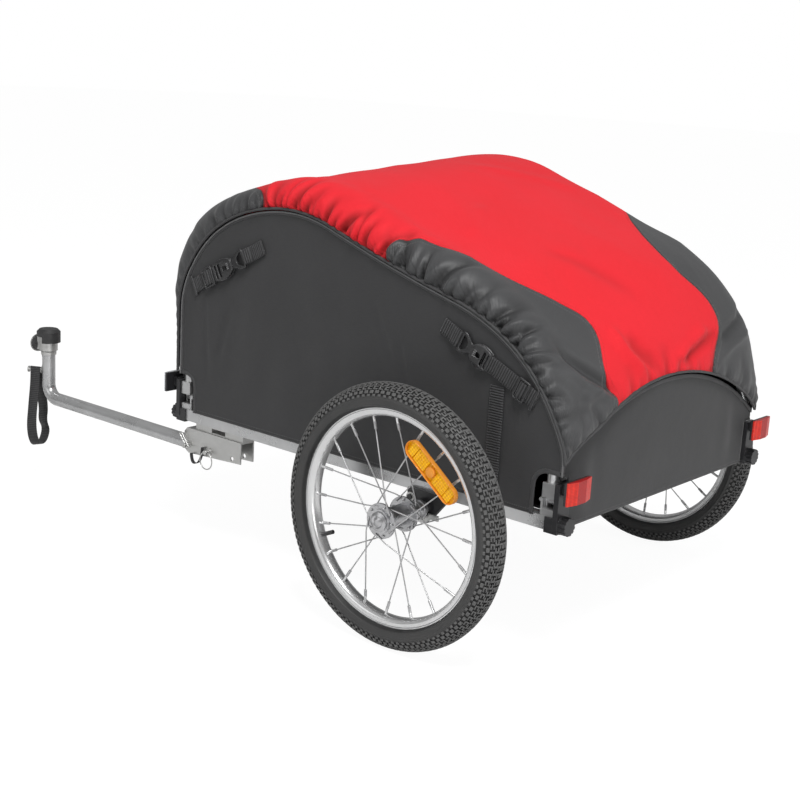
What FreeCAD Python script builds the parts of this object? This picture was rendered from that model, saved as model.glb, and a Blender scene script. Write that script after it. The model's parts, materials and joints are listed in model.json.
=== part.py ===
import FreeCAD, Part

import math
import os
import re

import Sketcher
from FreeCAD import Placement, Rotation, Vector

# A two-wheeled bike cargo trailer. +X points forward to the bike, +Y to the trailer's left,
# +Z up. Every piece is drawn about the ground point under the axle, and AXLE_X then moves it
# so that the origin is the ground point under the middle of the whole trailer.

SIZES = {
    # wheels
    "wheel_diameter": 400, "tyre_width": 45, "tyre_wall": 4, "tyre_height": 41,
    "wheel_clear": 78, "rim_width": 25, "rim_depth": 17, "rim_wall": 1.8, "rim_hook": 9,
    "bead_step": 7.5, "seat_gap": 0.4,
    "tube_wall": 1.5, "valve_diameter": 6.5, "valve_length": 30, "valve_angle": -24.7,
    "spoke_count": 20, "spoke_diameter": 2, "spoke_turn": 72, "spoke_side_gap": 2.7, "spoke_head": 0.4,
    "nipple_diameter": 4.4, "nipple_length": 11,
    "flange_diameter": 53, "flange_thickness": 3, "flange_spacing": 50, "spoke_circle": 44,
    "spoke_hole": 2.8, "barrel_diameter": 32, "boss_diameter": 36, "boss_length": 3,
    "bearing_diameter": 28, "bearing_width": 8, "hub_bore": 17,
    "spoke_reflector_length": 104, "spoke_reflector_height": 25, "spoke_reflector_depth": 9,
    "spoke_reflector_inset": 43, "spoke_reflector_angle": 131, "spoke_reflector_side": 9.3,
    # stub axles, receivers and release levers
    "axle_diameter": 12, "axle_head_diameter": 29, "axle_head_length": 5, "axle_button": 15,
    "axle_collar_diameter": 30, "axle_collar_groove": 1.2, "running_clearance": 0.05,
    "receiver_diameter": 20, "receiver_reach": 12, "receiver_plate_length": 72,
    "receiver_plate_thickness": 4, "receiver_web": 18, "receiver_bolt_spacing": 54,
    "cover_plate_thickness": 8, "cover_plate_front": 32, "cover_plate_rear": 38,
    "cover_plate_top": 26, "cover_plate_foot": 15, "cover_plate_lap": 6,
    "cover_plate_round": 3, "lever_thickness": 3, "lever_width": 8,
    "lever_gap": 4, "lever_pivot_forward": 24, "lever_pivot_rise": 12, "lever_pivot": 5,
    "lever_tail": 16, "piece_gap": 0.3,
    # base frame
    "frame_width": 585, "front_reach": 558, "rear_reach": 224, "rail_size": 20,
    "rail_wall": 1.5, "rail_rise": 20, "board_thickness": 4, "board_inset": 1.5,
    "bolt_diameter": 6, "bolt_head": 10, "bolt_head_height": 4,
    # corner hinges, hooks and bumpers
    "stub_height": 10, "hinge_rise": 20, "hinge_inset": 15.5, "hinge_radius": 6,
    "hinge_pin": 6, "hinge_pin_head": 9, "tongue_width": 14, "socket_size": 21,
    "socket_height": 21.5, "socket_gap": 0.5, "hook_thickness": 3, "hook_width": 8,
    "hook_height": 22, "bumper_width": 28, "bumper_thickness": 8, "bumper_height": 60,
    "bumper_cap": 27, "bumper_cap_length": 13, "bumper_gap": 2.1, "bumper_wrap": 12, "bumper_cheek": 2.5, "plug_length": 14,
    "reflector_width": 58, "reflector_height": 33, "reflector_depth": 7, "reflector_up": 63,
    "reflector_housing": 4, "reflector_standoff": 14, "reflector_inset": 4.5,
    # tow bar and its bracket
    "pivot_inset": 75, "pin_spacing": 56, "bar_drop": 43, "bar_inset": 15.5,
    "bar_diameter": 25, "bar_wall": 2, "bar_length": 485, "bar_tail": 16, "bar_bend": 28,
    "bar_riser": 91, "channel_inside": 26, "channel_wall": 2.5, "channel_rear": 21,
    "channel_front": 10, "channel_top": 31, "channel_foot": 6, "channel_toe": 14,
    "channel_chamfer": 7, "spacer_front": 40, "spacer_rear": 78, "spacer_width": 24,
    "spacer_window": 34, "spacer_window_height": 7, "bracket_bolt_front": 12,
    "bracket_bolt_rear": 53, "pin_diameter": 8, "pin_head": 12, "pin_head_length": 2,
    "pin_end": 12, "pin_cross_hole": 4, "notch_sweep": 3.2, "ring_radius": 15,
    "ring_wire": 2, "clip_wire": 2.4, "clip_leg": 22, "clip_angle": 50,
    "lanyard_width": 7, "lanyard_thickness": 1.2,
    # hitch
    "collar_diameter": 29, "collar_height": 8, "collar_overlap": 6, "spigot_diameter": 16,
    "spigot_height": 30, "hitch_diameter": 34, "hitch_height": 28, "coupling_drop": 19, "hitch_block": 19,
    "hitch_block_width": 26, "cap_diameter": 45, "cap_height": 14, "cap_round": 5,
    "cap_skirt": 12, "sleeve_diameter": 14, "coupling_bore": 10,
    "puck_diameter": 30, "puck_length": 14, "plate_diameter": 34, "plate_thickness": 4,
    "strap_pin_drop": 33, "strap_pin_reach": 40, "strap_pin_angle": 30, "strap_width": 20,
    "strap_thickness": 2.4, "strap_gap": 3, "strap_drop": 151, "wire_diameter": 1.6,
    # side arches: the centre line of each bent tube
    "arch_tube": 18, "arch_wall": 1.5, "arch_leg": 195, "arch_front_radius": 111,
    "arch_front_turn": 32, "arch_top_radius": 261, "arch_slope": 18.7,
    "arch_rear_radius": 325, "arch_rear_turn": 44.4, "arch_foot_radius": 45,
    # fabric
    "hem_offset": 15, "hem_diameter": 9, "hem_side": 5.2, "fabric": 2, "panel_side": 0.3,
    "panel_margin": 3.6, "panel_lap": 2, "cutout_width": 34, "cutout_height": 62, "cutout_bend": 20,
    "end_arch_radius": 490, "end_arch_rise": 189, "end_panel_inset": 24.5,
    "end_panel_drop": 1, "end_panel_gap": 2.3, "cover_drop": 8.73, "cover_fabric": 3,
    "cover_side": 4.5, "cover_shoulder": 62, "cover_rise_left": 50,
    "cover_rise_right": 82, "cover_crown": 10,
    # buckle straps on the side panels
    "webbing_width": 25, "webbing_thickness": 1.6, "anchor_length": 29, "buckle_length": 58,
    "buckle_width": 34, "buckle_depth": 8, "glide_length": 22, "glide_width": 33,
    "glide_depth": 3.5, "front_strap_inset": 182, "front_strap_rise": 127,
    "front_strap_slope": 27.7, "front_buckle_start": 38, "front_strap_length": 172,
    "rear_strap_inset": 193, "rear_strap_rise": 57, "rear_strap_slope": 26.5,
    "rear_buckle_start": 22, "rear_strap_length": 138, "post_webbing_inset": 108,
    "post_webbing_drop": 7, "overrun": 5,
}

# Sizes that follow from others: the wheels carry the rails, and the rails all that is above.
DERIVED = {
    "track": "(frame_width + 2 * wheel_clear)",
    "rim_diameter": "(wheel_diameter - 2 * tyre_height)",
    "bead_diameter": "(rim_diameter - 2 * bead_step)",
    "spoke_reflector_radius": "(rim_diameter / 2 - spoke_reflector_inset)",
    "receiver_end": "(frame_width / 2 + receiver_reach)",
    "rail_height": "(wheel_diameter / 2 + rail_rise)",
    "reflector_rise": "(rail_height + reflector_up)",
    "leg_top": "(rail_height + arch_leg)",
    "end_arch_height": "(rail_height + end_arch_rise)",
    "end_panel_width": "(frame_width - 2 * end_panel_inset)",
    "end_panel_foot": "(rail_height - end_panel_drop)",
    "cover_half_width": "(frame_width / 2 + cover_side)",
    "pivot_reach": "(front_reach - pivot_inset)",
}

# How far each station of the cover stands above the hem, as a share of the full rise, with
# the share of its stretch of the hem's path at which it lies.
COVER_RISE_SHARES = {
    "front_leg": ((0.0, 0.12), (0.5, 0.24), (1.0, 0.42)),
    "front": ((1.0, 0.66),),
    "top": ((0.25, 0.8), (0.5, 0.91), (0.75, 0.98), (1.0, 1.0)),
    "slope": ((0.5, 1.0), (1.0, 1.0)),
    "rear": ((0.33, 0.93), (0.67, 0.74), (1.0, 0.4)),
    "foot": ((1.0, 0.14),),
    "rear_leg": ((1.0, 0.1),),
}
# The wavy seam between the red middle and the grey corners, as shares of the reach along the
# trailer and of the half width across it, from the side hem to the end hem.
REAR_SEAM_SHARES = ((0.47, 1.1), (0.42, 0.93), (0.3, 0.8), (0.0, 0.76), (-0.45, 0.74),
                    (-0.85, 0.6), (-0.97, 0.5), (-1.3, 0.46))
FRONT_SEAM_SHARES = ((0.69, 1.1), (0.72, 0.95), (0.78, 0.82), (0.87, 0.68), (0.98, 0.55),
                     (1.2, 0.46))
SEAM_LEFT_SHARE = 1.0
SEAM_RIGHT_SHARE = 0.92
FACET_SHARE = 0.36
LENS_BACK_SHARE = 0.35
SHOULDER_RISE_SHARE = 0.66
SHOULDER_IN_SHARE = 0.2
# The safety strap's loop, across and up from its pin, as shares of how far it hangs down.
STRAP_SHARES = ((0.037, 0.2), (0.037, -0.1), (0.11, -0.42), (0.17, -0.74), (0.06, -0.99),
                (-0.16, -1.02), (-0.29, -0.86), (-0.165, -0.72), (-0.21, -0.54),
                (-0.1, -0.26), (-0.037, -0.08), (-0.037, 0.03))
# The lanyard, forward and up from the ring pin, as shares of the ring's radius.
LANYARD_SHARES = ((0.95, 0.35), (1.0, -0.6), (1.6, -1.75), (2.75, -1.9), (2.85, -0.75))
LACE_KNEE_SHARE = 0.15
BUTTON_SHARE = 0.6
RIDGES = 7
LEVER_SWEEP = 180
LEVER_START = -20
LEVER_EYE_SHARE = 1.5
LEVER_CAP_SHARE = 0.9
LEVER_TAIL_BACK_SHARE = 1.2
LEVER_TAIL_DROP_SHARE = 1.7
TOE_SHARE = 1.6
CAP_RIBS = 12
SKIRT_SWEEP = 140
SKIRT_START = 110
CUTOUT_KNEE_SHARE = 0.3
OPENING_FAR_SHARE = 1.2
OPENING_DEPTH_SHARE = 0.7
GLIDE_BACK_SHARE = 1.4
MOULDED_ROUND_SHARE = 0.4
CLIP_BACK_SHARE = 0.25
CORNER_SHARE = 0.45

doc = FreeCAD.newDocument("CargoTrailer")
sheet = doc.addObject("Spreadsheet::Sheet", "Sizes")
for row, (alias, number) in enumerate(SIZES.items(), start=1):
    sheet.set(f"A{row}", alias)
    sheet.set(f"B{row}", str(number))
    sheet.setAlias(f"B{row}", alias)
doc.recompute()

# Places that several pieces share, as expressions in the sheet's sizes.
AXLE_HEIGHT = "(wheel_diameter / 2)"
WHEEL_SIDE = "(track / 2)"
RAIL_SIDE = "(frame_width / 2 - rail_size / 2)"
RAIL_TOP = "(rail_height + rail_size)"
POST_FRONT = "(front_reach - rail_size / 2)"
POST_REAR = "(-rear_reach + rail_size / 2)"
HINGE_SIDE = "(frame_width / 2 - hinge_inset)"
HINGE_HEIGHT = "(rail_height + rail_size + hinge_rise)"
BAR_SIDE = "(frame_width / 2 - bar_inset)"
BAR_HEIGHT = "(rail_height - bar_drop)"
RISER_REACH = "(pivot_reach + bar_length)"
COLLAR_TOP = f"({BAR_HEIGHT} + bar_riser - collar_overlap + collar_height)"
HITCH_HEIGHT = f"({COLLAR_TOP} + piece_gap + hitch_height - coupling_drop)"
STRAP_PIN_HEIGHT = f"({COLLAR_TOP} - collar_height - strap_pin_drop)"
PUCK_START = f"({RISER_REACH} + hitch_block + piece_gap)"
COUPLING_FRONT = f"({PUCK_START} + puck_length + plate_thickness)"
REFLECTOR_BACK = "(bumper_gap + bumper_thickness + reflector_standoff)"
REAR_END = f"(rear_reach + {REFLECTOR_BACK} + reflector_housing + reflector_depth)"
AXLE_X = f"(({REAR_END} - {COUPLING_FRONT}) / 2)"
HUB_END = "(flange_spacing / 2 + flange_thickness / 2 + boss_length)"
CHANNEL_TOP = f"({BAR_HEIGHT} + channel_top)"
PANEL_FACE = "(frame_width / 2 + panel_side)"
STRAP_FACE = f"({PANEL_FACE} + fabric + piece_gap)"

ALONG = {"x": Rotation(Vector(0, 1, 0), 90), "y": Rotation(Vector(1, 0, 0), -90), "z": Rotation()}
START = {}
NODES = {}


def spelled(expression):
    """The expression with each derived size written out in the sheet's own."""
    def word(found):
        return spelled(DERIVED[found.group()]) if found.group() in DERIVED else found.group()
    return re.sub(r"[a-z_]+", word, str(expression))


def value(expression):
    """The number that an expression in the sheet's sizes stands for."""
    return float(sheet.evalExpression(spelled(expression)))


def bound(expression):
    """The expression as the document's objects read it."""
    def cell(word):
        return "Sizes." + word.group() if word.group() in SIZES else word.group()
    return re.sub(r"[a-z_]+", cell, spelled(expression))


def place(piece, x=0, y=0, z=0, turn=None):
    """Ties a piece's position to the sheet."""
    if turn is not None:
        piece.Placement = Placement(Vector(), turn)
    for axis, expression in zip("xyz", (x, y, z)):
        piece.setExpression("Placement.Base." + axis, bound(expression))
    START[piece.Name] = x
    return piece


def box(name, length, width, height, x=0, y=0, z=0):
    """A box from its low corner."""
    piece = doc.addObject("Part::Box", name)
    for side, expression in zip(("Length", "Width", "Height"), (length, width, height)):
        piece.setExpression(side, bound(expression))
    return place(piece, x, y, z)


def cylinder(name, radius, height, x=0, y=0, z=0, along="z", sweep=360, start=0):
    """A cylinder, or a sector of one, from the middle of its low end."""
    piece = doc.addObject("Part::Cylinder", name)
    piece.setExpression("Radius", bound(radius))
    piece.setExpression("Height", bound(height))
    piece.Angle = sweep
    return place(piece, x, y, z, ALONG[along].multiply(Rotation(Vector(0, 0, 1), start)))


def torus(name, ring, wire, x=0, y=0, z=0, along="z"):
    piece = doc.addObject("Part::Torus", name)
    piece.setExpression("Radius1", bound(ring))
    piece.setExpression("Radius2", bound(wire))
    return place(piece, x, y, z, ALONG[along])


def fuse(name, *pieces):
    piece = doc.addObject("Part::MultiFuse", name)
    piece.Shapes = list(pieces)
    return piece


def cut(name, base, *tools):
    piece = doc.addObject("Part::Cut", name)
    piece.Base = base
    piece.Tool = tools[0] if len(tools) == 1 else fuse(name + "_tools", *tools)
    return piece


def group(name, *pieces):
    piece = doc.addObject("Part::Compound", name)
    piece.Links = list(pieces)
    return piece


def mirrored(name, source):
    """The right-hand twin of a left-hand piece."""
    piece = doc.addObject("Part::Mirroring", name)
    piece.Source = source
    piece.Normal = Vector(0, 1, 0)
    return piece


def both_sides(name, left):
    return group(name, left, mirrored(name + "_twin", left))


def sketch_on(body, role, name):
    """An empty sketch on one of the body's own origin planes."""
    sketch = body.newObject("Sketcher::SketchObject", name)
    plane = next(f for f in body.Origin.OriginFeatures if f.Role == role)
    sketch.AttachmentSupport = [(plane, "")]
    sketch.MapMode = "FlatFace"
    return sketch


def tie(sketch, kind, *terms):
    """Adds a constraint whose size, its last term, is an expression."""
    number = sketch.addConstraint(Sketcher.Constraint(kind, *terms[:-1], value(terms[-1])))
    sketch.setExpression(f"Constraints[{number}]", bound(terms[-1]))


def draw_outline(sketch, outline):
    """A closed outline of straight lines, each corner tied to the sheet."""
    corners = [Vector(value(x), value(y), 0) for x, y in outline]
    first = sketch.GeometryCount
    count = len(corners)
    for i in range(count):
        sketch.addGeometry(Part.LineSegment(corners[i], corners[(i + 1) % count]))
    for i in range(count):
        joint = ("Coincident", first + i, 2, first + (i + 1) % count, 1)
        sketch.addConstraint(Sketcher.Constraint(*joint))
    for i, (x, y) in enumerate(outline):
        tie(sketch, "DistanceX", -1, 1, first + i, 1, x)
        tie(sketch, "DistanceY", -1, 1, first + i, 1, y)


def draw_circle(sketch, x, y, radius):
    middle = Vector(value(x), value(y), 0)
    number = sketch.addGeometry(Part.Circle(middle, Vector(0, 0, 1), value(radius)))
    tie(sketch, "DistanceX", -1, 1, number, 3, x)
    tie(sketch, "DistanceY", -1, 1, number, 3, y)
    tie(sketch, "Radius", number, radius)


def pad(name, role, outline, thickness, x=0, y=0, z=0, holes=()):
    """A plate of one outline with round holes. From XZ_Plane it grows towards -Y."""
    body = doc.addObject("PartDesign::Body", name)
    sketch = sketch_on(body, role, name + "_outline")
    draw_outline(sketch, outline)
    for hole in holes:
        draw_circle(sketch, *hole)
    plate = body.newObject("PartDesign::Pad", name + "_pad")
    plate.Profile = (sketch, [""])
    plate.setExpression("Length", bound(thickness))
    return place(body, x, y, z)


def turned(name, outline, x=0, y=0, z=0, along="z"):
    """A body of revolution: its outline is (radius, distance along the axis)."""
    body = doc.addObject("PartDesign::Body", name)
    sketch = sketch_on(body, "XZ_Plane", name + "_outline")
    draw_outline(sketch, outline)
    spin = body.newObject("PartDesign::Revolution", name + "_spin")
    spin.Profile = (sketch, [""])
    spin.ReferenceAxis = (sketch, ["V_Axis"])
    spin.Angle = 360
    return place(body, x, y, z, ALONG[along])


def round_edges(body, radius, chosen):
    """Rounds the edges of a body's tip that the test picks."""
    doc.recompute()
    tip = body.Tip
    edges = [f"Edge{i}" for i, edge in enumerate(tip.Shape.Edges, start=1) if chosen(edge)]
    feature = body.newObject("PartDesign::Fillet", body.Name + "_round")
    feature.Base = (tip, edges)
    feature.setExpression("Radius", bound(radius))


def drawn(name, shape):
    """A piece whose shape is made by code from the sheet's sizes."""
    piece = doc.addObject("Part::Feature", name)
    piece.Shape = shape
    return place(piece)


def node(label, piece):
    """Names a finished piece and moves it from the axle to the trailer's own frame."""
    piece.Label = label
    if piece.TypeId != "Part::Mirroring":
        start = START.get(piece.Name, 0)
        piece.setExpression("Placement.Base.x", bound(f"{AXLE_X} + ({start})"))
    NODES[label] = piece


def left_and_right(label, left):
    """A left-hand node and its mirrored twin."""
    node(label + "_left", left)
    node(label + "_right", mirrored(label + "_mirror", left))


# Paths of straight runs and tangent arcs

def walk(start, heading, *steps):
    """Follows ("run", length) and ("turn", radius, angle) steps in a plane.

    Returns the stretches as (kind, start, end, middle, heading at end), turning left."""
    point = Vector(*start)
    stretches = []
    for step in steps:
        if step[0] == "run":
            end = point + Vector(math.cos(heading), math.sin(heading)) * step[1]
            middle = (point + end) * 0.5
        else:
            side = math.copysign(1, step[2])
            turn = math.radians(step[2])
            centre = point + Vector(-math.sin(heading), math.cos(heading)) * (side * step[1])
            spoke = point - centre
            middle = centre + rotated(spoke, turn / 2)
            end = centre + rotated(spoke, turn)
            heading += turn
        stretches.append((step[0], point, end, middle, heading))
        point = end
    return stretches


def rotated(vector, angle):
    c, s = math.cos(angle), math.sin(angle)
    return Vector(vector.x * c - vector.y * s, vector.x * s + vector.y * c)


def edges_of(stretches, lift):
    """The edges of a walked path, put into space by lift."""
    edges = []
    for kind, start, end, middle, _ in stretches:
        if kind == "run":
            edges.append(Part.makeLine(lift(start), lift(end)))
        else:
            edges.append(Part.Arc(lift(start), lift(middle), lift(end)).toShape())
    return edges


def smooth_steps(points):
    """The steps of a route whose corners are rounded by tangent arcs."""
    runs = [b - a for a, b in zip(points, points[1:])]
    trims = [CORNER_SHARE * min(a.Length, b.Length) for a, b in zip(runs, runs[1:])]
    steps = []
    for number, run in enumerate(runs):
        before = trims[number - 1] if number else 0
        after = trims[number] if number < len(trims) else 0
        steps.append(("run", run.Length - before - after))
        if number < len(trims):
            ahead = runs[number + 1]
            turn = math.degrees(run.getAngle(ahead))
            side = math.copysign(1, run.x * ahead.y - run.y * ahead.x)
            steps.append(("turn", after / math.tan(math.radians(turn) / 2), side * turn))
    return steps


def band(points, thickness, lift, sweep):
    """A flat strap: a route given a thickness in its plane and pushed along its width."""
    steps, start = smooth_steps(points), points[0]
    heading = math.atan2(points[1].y - start.y, points[1].x - start.x)
    half = thickness / 2
    sides = []
    for offset in (half, -half):
        shifted = [step if step[0] == "run" else
                   (step[0], step[1] - offset * math.copysign(1, step[2]), step[2])
                   for step in steps]
        origin = start + Vector(-math.sin(heading), math.cos(heading)) * offset
        sides.append(walk((origin.x, origin.y), heading, *shifted))
    left, right = (edges_of(side, lift) for side in sides)
    ends = [Part.makeLine(lift(sides[0][0][1]), lift(sides[1][0][1])),
            Part.makeLine(lift(sides[0][-1][2]), lift(sides[1][-1][2]))]
    outline = Part.Wire(Part.__sortEdges__(left + right + ends))
    return Part.Face(outline).extrude(sweep)


def arch_steps(offset):
    """The side arch's path, front foot to rear foot, that far outside its centre line."""
    slope, front = value("arch_slope"), value("arch_front_turn")
    rear = value("arch_rear_turn")
    radii = [value(f"arch_{part}_radius") + offset for part in ("front", "top", "rear", "foot")]
    lean = math.cos(math.radians(front))
    low, high = math.sin(math.radians(slope)), math.sin(math.radians(slope + rear))
    reaches = (1 - lean, lean + low, high - low, 1 - high)
    used = sum(radius * reach for radius, reach in zip(radii, reaches))
    straight = value(POST_FRONT) - value(POST_REAR) + 2 * offset - used
    straight /= math.cos(math.radians(slope))
    return {"front": ("turn", radii[0], front), "top": ("turn", radii[1], 90 + slope - front),
            "slope": ("run", straight), "rear": ("turn", radii[2], rear),
            "foot": ("turn", radii[3], 90 - slope - rear)}


def arch_walk(offset, low):
    """The arch's stretches from a low height at the front leg to the same at the rear."""
    leg = value("leg_top") - low
    steps = arch_steps(offset)
    start = (value(POST_FRONT) + offset, low)
    bent = walk(start, math.radians(90), ("run", leg), *steps.values())
    rear_leg = ("run", bent[-1][2].y - low)
    stretches = walk(start, math.radians(90), ("run", leg), *steps.values(), rear_leg)
    return dict(zip(("front_leg", *steps, "rear_leg"), stretches))


def upright(side):
    """Lifts a point of the side view to a plane across the trailer."""
    return lambda point: Vector(point.x, side, point.y)


# Wheels

def tyre():
    width, outer = "(tyre_width / 2)", AXLE_HEIGHT
    ring = f"({outer} - {width})"
    place_args = dict(y=WHEEL_SIDE, z=AXLE_HEIGHT, along="y")
    skirt = "(rim_diameter / 2 + seat_gap)"
    casing = torus("tyre_casing", ring, width, **place_args)
    trim = cylinder("tyre_trim", skirt, "tyre_width", y=f"{WHEEL_SIDE} - {width}",
                    z=AXLE_HEIGHT, along="y")
    bead_width = "(rim_width - 2 * rim_wall - 2 * seat_gap)"
    bead = cylinder("tyre_bead", f"{skirt} + tyre_wall", bead_width,
                    y=f"{WHEEL_SIDE} - {bead_width} / 2", z=AXLE_HEIGHT, along="y")
    cavity = torus("tyre_cavity", ring, f"{width} - tyre_wall", **place_args)
    mouth_width = f"({bead_width} - 2 * tyre_wall)"
    mouth = cylinder("tyre_mouth", ring, mouth_width,
                     y=f"{WHEEL_SIDE} - {mouth_width} / 2", z=AXLE_HEIGHT, along="y")
    hole = cylinder("tyre_hole", "bead_diameter / 2", "tyre_width",
                    y=f"{WHEEL_SIDE} - {width}", z=AXLE_HEIGHT, along="y")
    body = fuse("tyre_body", cut("tyre_crown", casing, trim), bead)
    left_and_right("tyre", cut("tyre", body, cavity, mouth, hole))


def rim():
    out, half = "(rim_diameter / 2)", "(rim_width / 2)"
    well = f"({out} - rim_depth)"
    side = f"({half} - rim_wall)"
    shelf = f"({out} - rim_hook)"
    outline = [(out, half), (out, side), (shelf, side), (f"{well} + rim_wall", f"{half} / 2"),
               (f"{well} + rim_wall", f"-{half} / 2"), (shelf, f"-{side}"), (out, f"-{side}"),
               (out, f"-{half}"), (f"{shelf} - rim_wall", f"-{half}"), (well, f"-{half} / 2"),
               (well, f"{half} / 2"), (f"{shelf} - rim_wall", half)]
    hoop = turned("rim_hoop", outline, y=WHEEL_SIDE, z=AXLE_HEIGHT, along="y")
    hole = drawn("rim_valve_hole", valve_stem("valve_diameter / 2 + piece_gap", "rim_depth * 2"))
    left_and_right("rim", cut("rim", hoop, hole))


def valve_direction():
    angle = math.radians(value("valve_angle"))
    return Vector(math.cos(angle), 0, math.sin(angle))


def valve_stem(radius, length):
    """A stem through the rim's well, pointing at the hub."""
    middle = Vector(0, value(WHEEL_SIDE), value(AXLE_HEIGHT))
    out = valve_direction()
    root = value("rim_diameter / 2 - rim_depth + rim_wall + tyre_wall")
    return Part.makeCylinder(value(radius), value(length), middle + out * root, out * -1)


def inner_tube():
    """The air tube, hollow, with its valve stem through the rim."""
    middle = Vector(0, value(WHEEL_SIDE), value(AXLE_HEIGHT))
    axis = Vector(0, 1, 0)
    ring = value("wheel_diameter / 2 - tyre_width / 2")
    thick = value("tyre_width / 2 - tyre_wall - piece_gap")
    skin = value("tube_wall")
    tube = Part.makeTorus(ring, thick, middle, axis)
    air = Part.makeTorus(ring, thick - skin, middle, axis)
    reach = ring - thick - value("rim_diameter / 2 - rim_depth - valve_length / 2")
    out = valve_direction()
    root = middle + out * (ring - thick + skin)
    stem = Part.makeCylinder(value("valve_diameter / 2"), reach + skin, root, out * -1)
    bore = Part.makeCylinder(value("valve_diameter / 4"), reach + 2 * skin, root + out * skin,
                             out * -1)
    left_and_right("inner_tube", drawn("inner_tube", tube.cut(air).fuse(stem).cut(bore)))


def hub_shell():
    """The barrel, its two spoke flanges and the end bosses, bored for the bearings."""
    flange, barrel = "(flange_diameter / 2)", "(barrel_diameter / 2)"
    boss, bearing = "(boss_diameter / 2)", "(bearing_diameter / 2)"
    near = "(flange_spacing / 2 - flange_thickness / 2)"
    far = "(flange_spacing / 2 + flange_thickness / 2)"
    seat = f"({HUB_END} - bearing_width)"
    half = [("hub_bore / 2", seat), (bearing, seat), (bearing, HUB_END), (boss, HUB_END),
            (boss, far), (flange, far), (flange, near), (barrel, near)]
    other = [(radius, f"-{height}") for radius, height in reversed(half)]
    body = turned("hub_body", half + other, y=WHEEL_SIDE, z=AXLE_HEIGHT, along="y")
    holes = []
    radius = value("spoke_circle / 2")
    middle = Vector(0, value(WHEEL_SIDE), value(AXLE_HEIGHT))
    for number in range(round(value("spoke_count"))):
        side = 1 if number % 2 == 0 else -1
        angle = hub_angle(number)
        spot = Vector(radius * math.cos(angle), side * value(near) - value("overrun") / 2,
                      radius * math.sin(angle))
        length = value("flange_thickness + overrun")
        start = middle + spot + Vector(0, 0 if side > 0 else -value("flange_thickness"), 0)
        holes.append(Part.makeCylinder(value("spoke_hole / 2"), length, start, Vector(0, 1, 0)))
    left_and_right("hub_shell", cut("hub_shell", body, drawn("hub_holes", Part.makeCompound(holes))))


def rim_angle(number):
    return 2 * math.pi * number / value("spoke_count")


def hub_angle(number):
    """Neighbours on one flange lean opposite ways, so the spokes cross."""
    lean = 1 if number // 2 % 2 == 0 else -1
    return rim_angle(number) + lean * math.radians(value("spoke_turn"))


def spokes():
    """Crossed spokes, each with its bent head in the flange and its nipple at the rim."""
    middle = Vector(0, value(WHEEL_SIDE), value(AXLE_HEIGHT))
    wire = value("spoke_diameter / 2")
    hub, seat = value("spoke_circle / 2"), value("rim_diameter / 2 - rim_depth")
    laced = []
    for number in range(round(value("spoke_count"))):
        side = 1 if number % 2 == 0 else -1
        lean = 1 if number // 2 % 2 == 0 else -1
        angle, far = hub_angle(number), rim_angle(number)
        flange = side * value("flange_spacing / 2")
        face = flange + lean * side * value("spoke_side_gap")
        foot = Vector(hub * math.cos(angle), face, hub * math.sin(angle))
        top = Vector(seat * math.cos(far), 0, seat * math.sin(far))
        knee = foot + (top - foot) * LACE_KNEE_SHARE
        if abs(face) > abs(flange):
            knee.y = face
        parts = [Part.makeSphere(wire, middle + spot) for spot in (foot, knee)]
        for a, b in ((foot, knee), (knee, top)):
            parts.append(Part.makeCylinder(wire, (b - a).Length, middle + a, b - a))
        head = value("spoke_hole / 2 + spoke_head")
        back = Vector(0, math.copysign(value("flange_thickness / 2 + running_clearance") + head,
                                       flange - face) + flange - face, 0)
        parts.append(Part.makeCylinder(wire, back.Length, middle + foot, back))
        parts.append(Part.makeSphere(head, middle + foot + back))
        run = (top - knee).normalize()
        length = value("nipple_length")
        parts.append(Part.makeCylinder(value("nipple_diameter / 2"), length,
                                       middle + top - run * length, run))
        laced.append(parts[0].fuse(parts[1:]))
    rim_band = Part.makeCylinder(seat - value("running_clearance"), value("track"), middle
                                 - Vector(0, value(WHEEL_SIDE), 0), Vector(0, 1, 0))
    trimmed = [spoke.common(rim_band) for spoke in laced]
    left_and_right("spokes", drawn("spokes", Part.makeCompound(trimmed)))


def bearings():
    ring = []
    for name, low in (("outer", f"{HUB_END} - bearing_width"), ("inner", f"-{HUB_END}")):
        race = cylinder(f"bearing_{name}", "bearing_diameter / 2 - running_clearance",
                        "bearing_width", y=f"{WHEEL_SIDE} + {low}", z=AXLE_HEIGHT, along="y")
        bore = cylinder(f"bearing_{name}_bore", "axle_diameter / 2 + running_clearance",
                        "bearing_width", y=f"{WHEEL_SIDE} + {low}", z=AXLE_HEIGHT, along="y")
        ring.append(cut(f"bearing_{name}_ring", race, bore))
    left_and_right("hub_bearings", group("bearings", *ring))


def spoke_reflector():
    """An amber lens with cut corners, held on the outer spokes."""
    long, high = "spoke_reflector_length / 2", "spoke_reflector_height / 2"
    corner = "spoke_reflector_height / 3"
    outline = [(f"-{long}", f"-{high}"), (long, f"-{high}"), (long, f"{high} - {corner}"),
               (f"{long} - {corner}", high), (f"-{long} + {corner}", high),
               (f"-{long}", f"{high} - {corner}")]
    body = pad("lens", "XZ_Plane", outline, "spoke_reflector_depth")
    angle = math.radians(value("spoke_reflector_angle"))
    body.Placement = Placement(Vector(), Rotation(Vector(0, -1, 0),
                                                  value("spoke_reflector_angle") - 90))
    reach = f"(spoke_reflector_radius * {math.cos(angle):.6f})"
    rise = f"(spoke_reflector_radius * {math.sin(angle):.6f})"
    side = f"{WHEEL_SIDE} + spoke_reflector_side + spoke_reflector_depth"
    place(body, reach, side, f"{AXLE_HEIGHT} + {rise}")
    left_and_right("spoke_reflector", body)


# Stub axles, receivers and release levers

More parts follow.
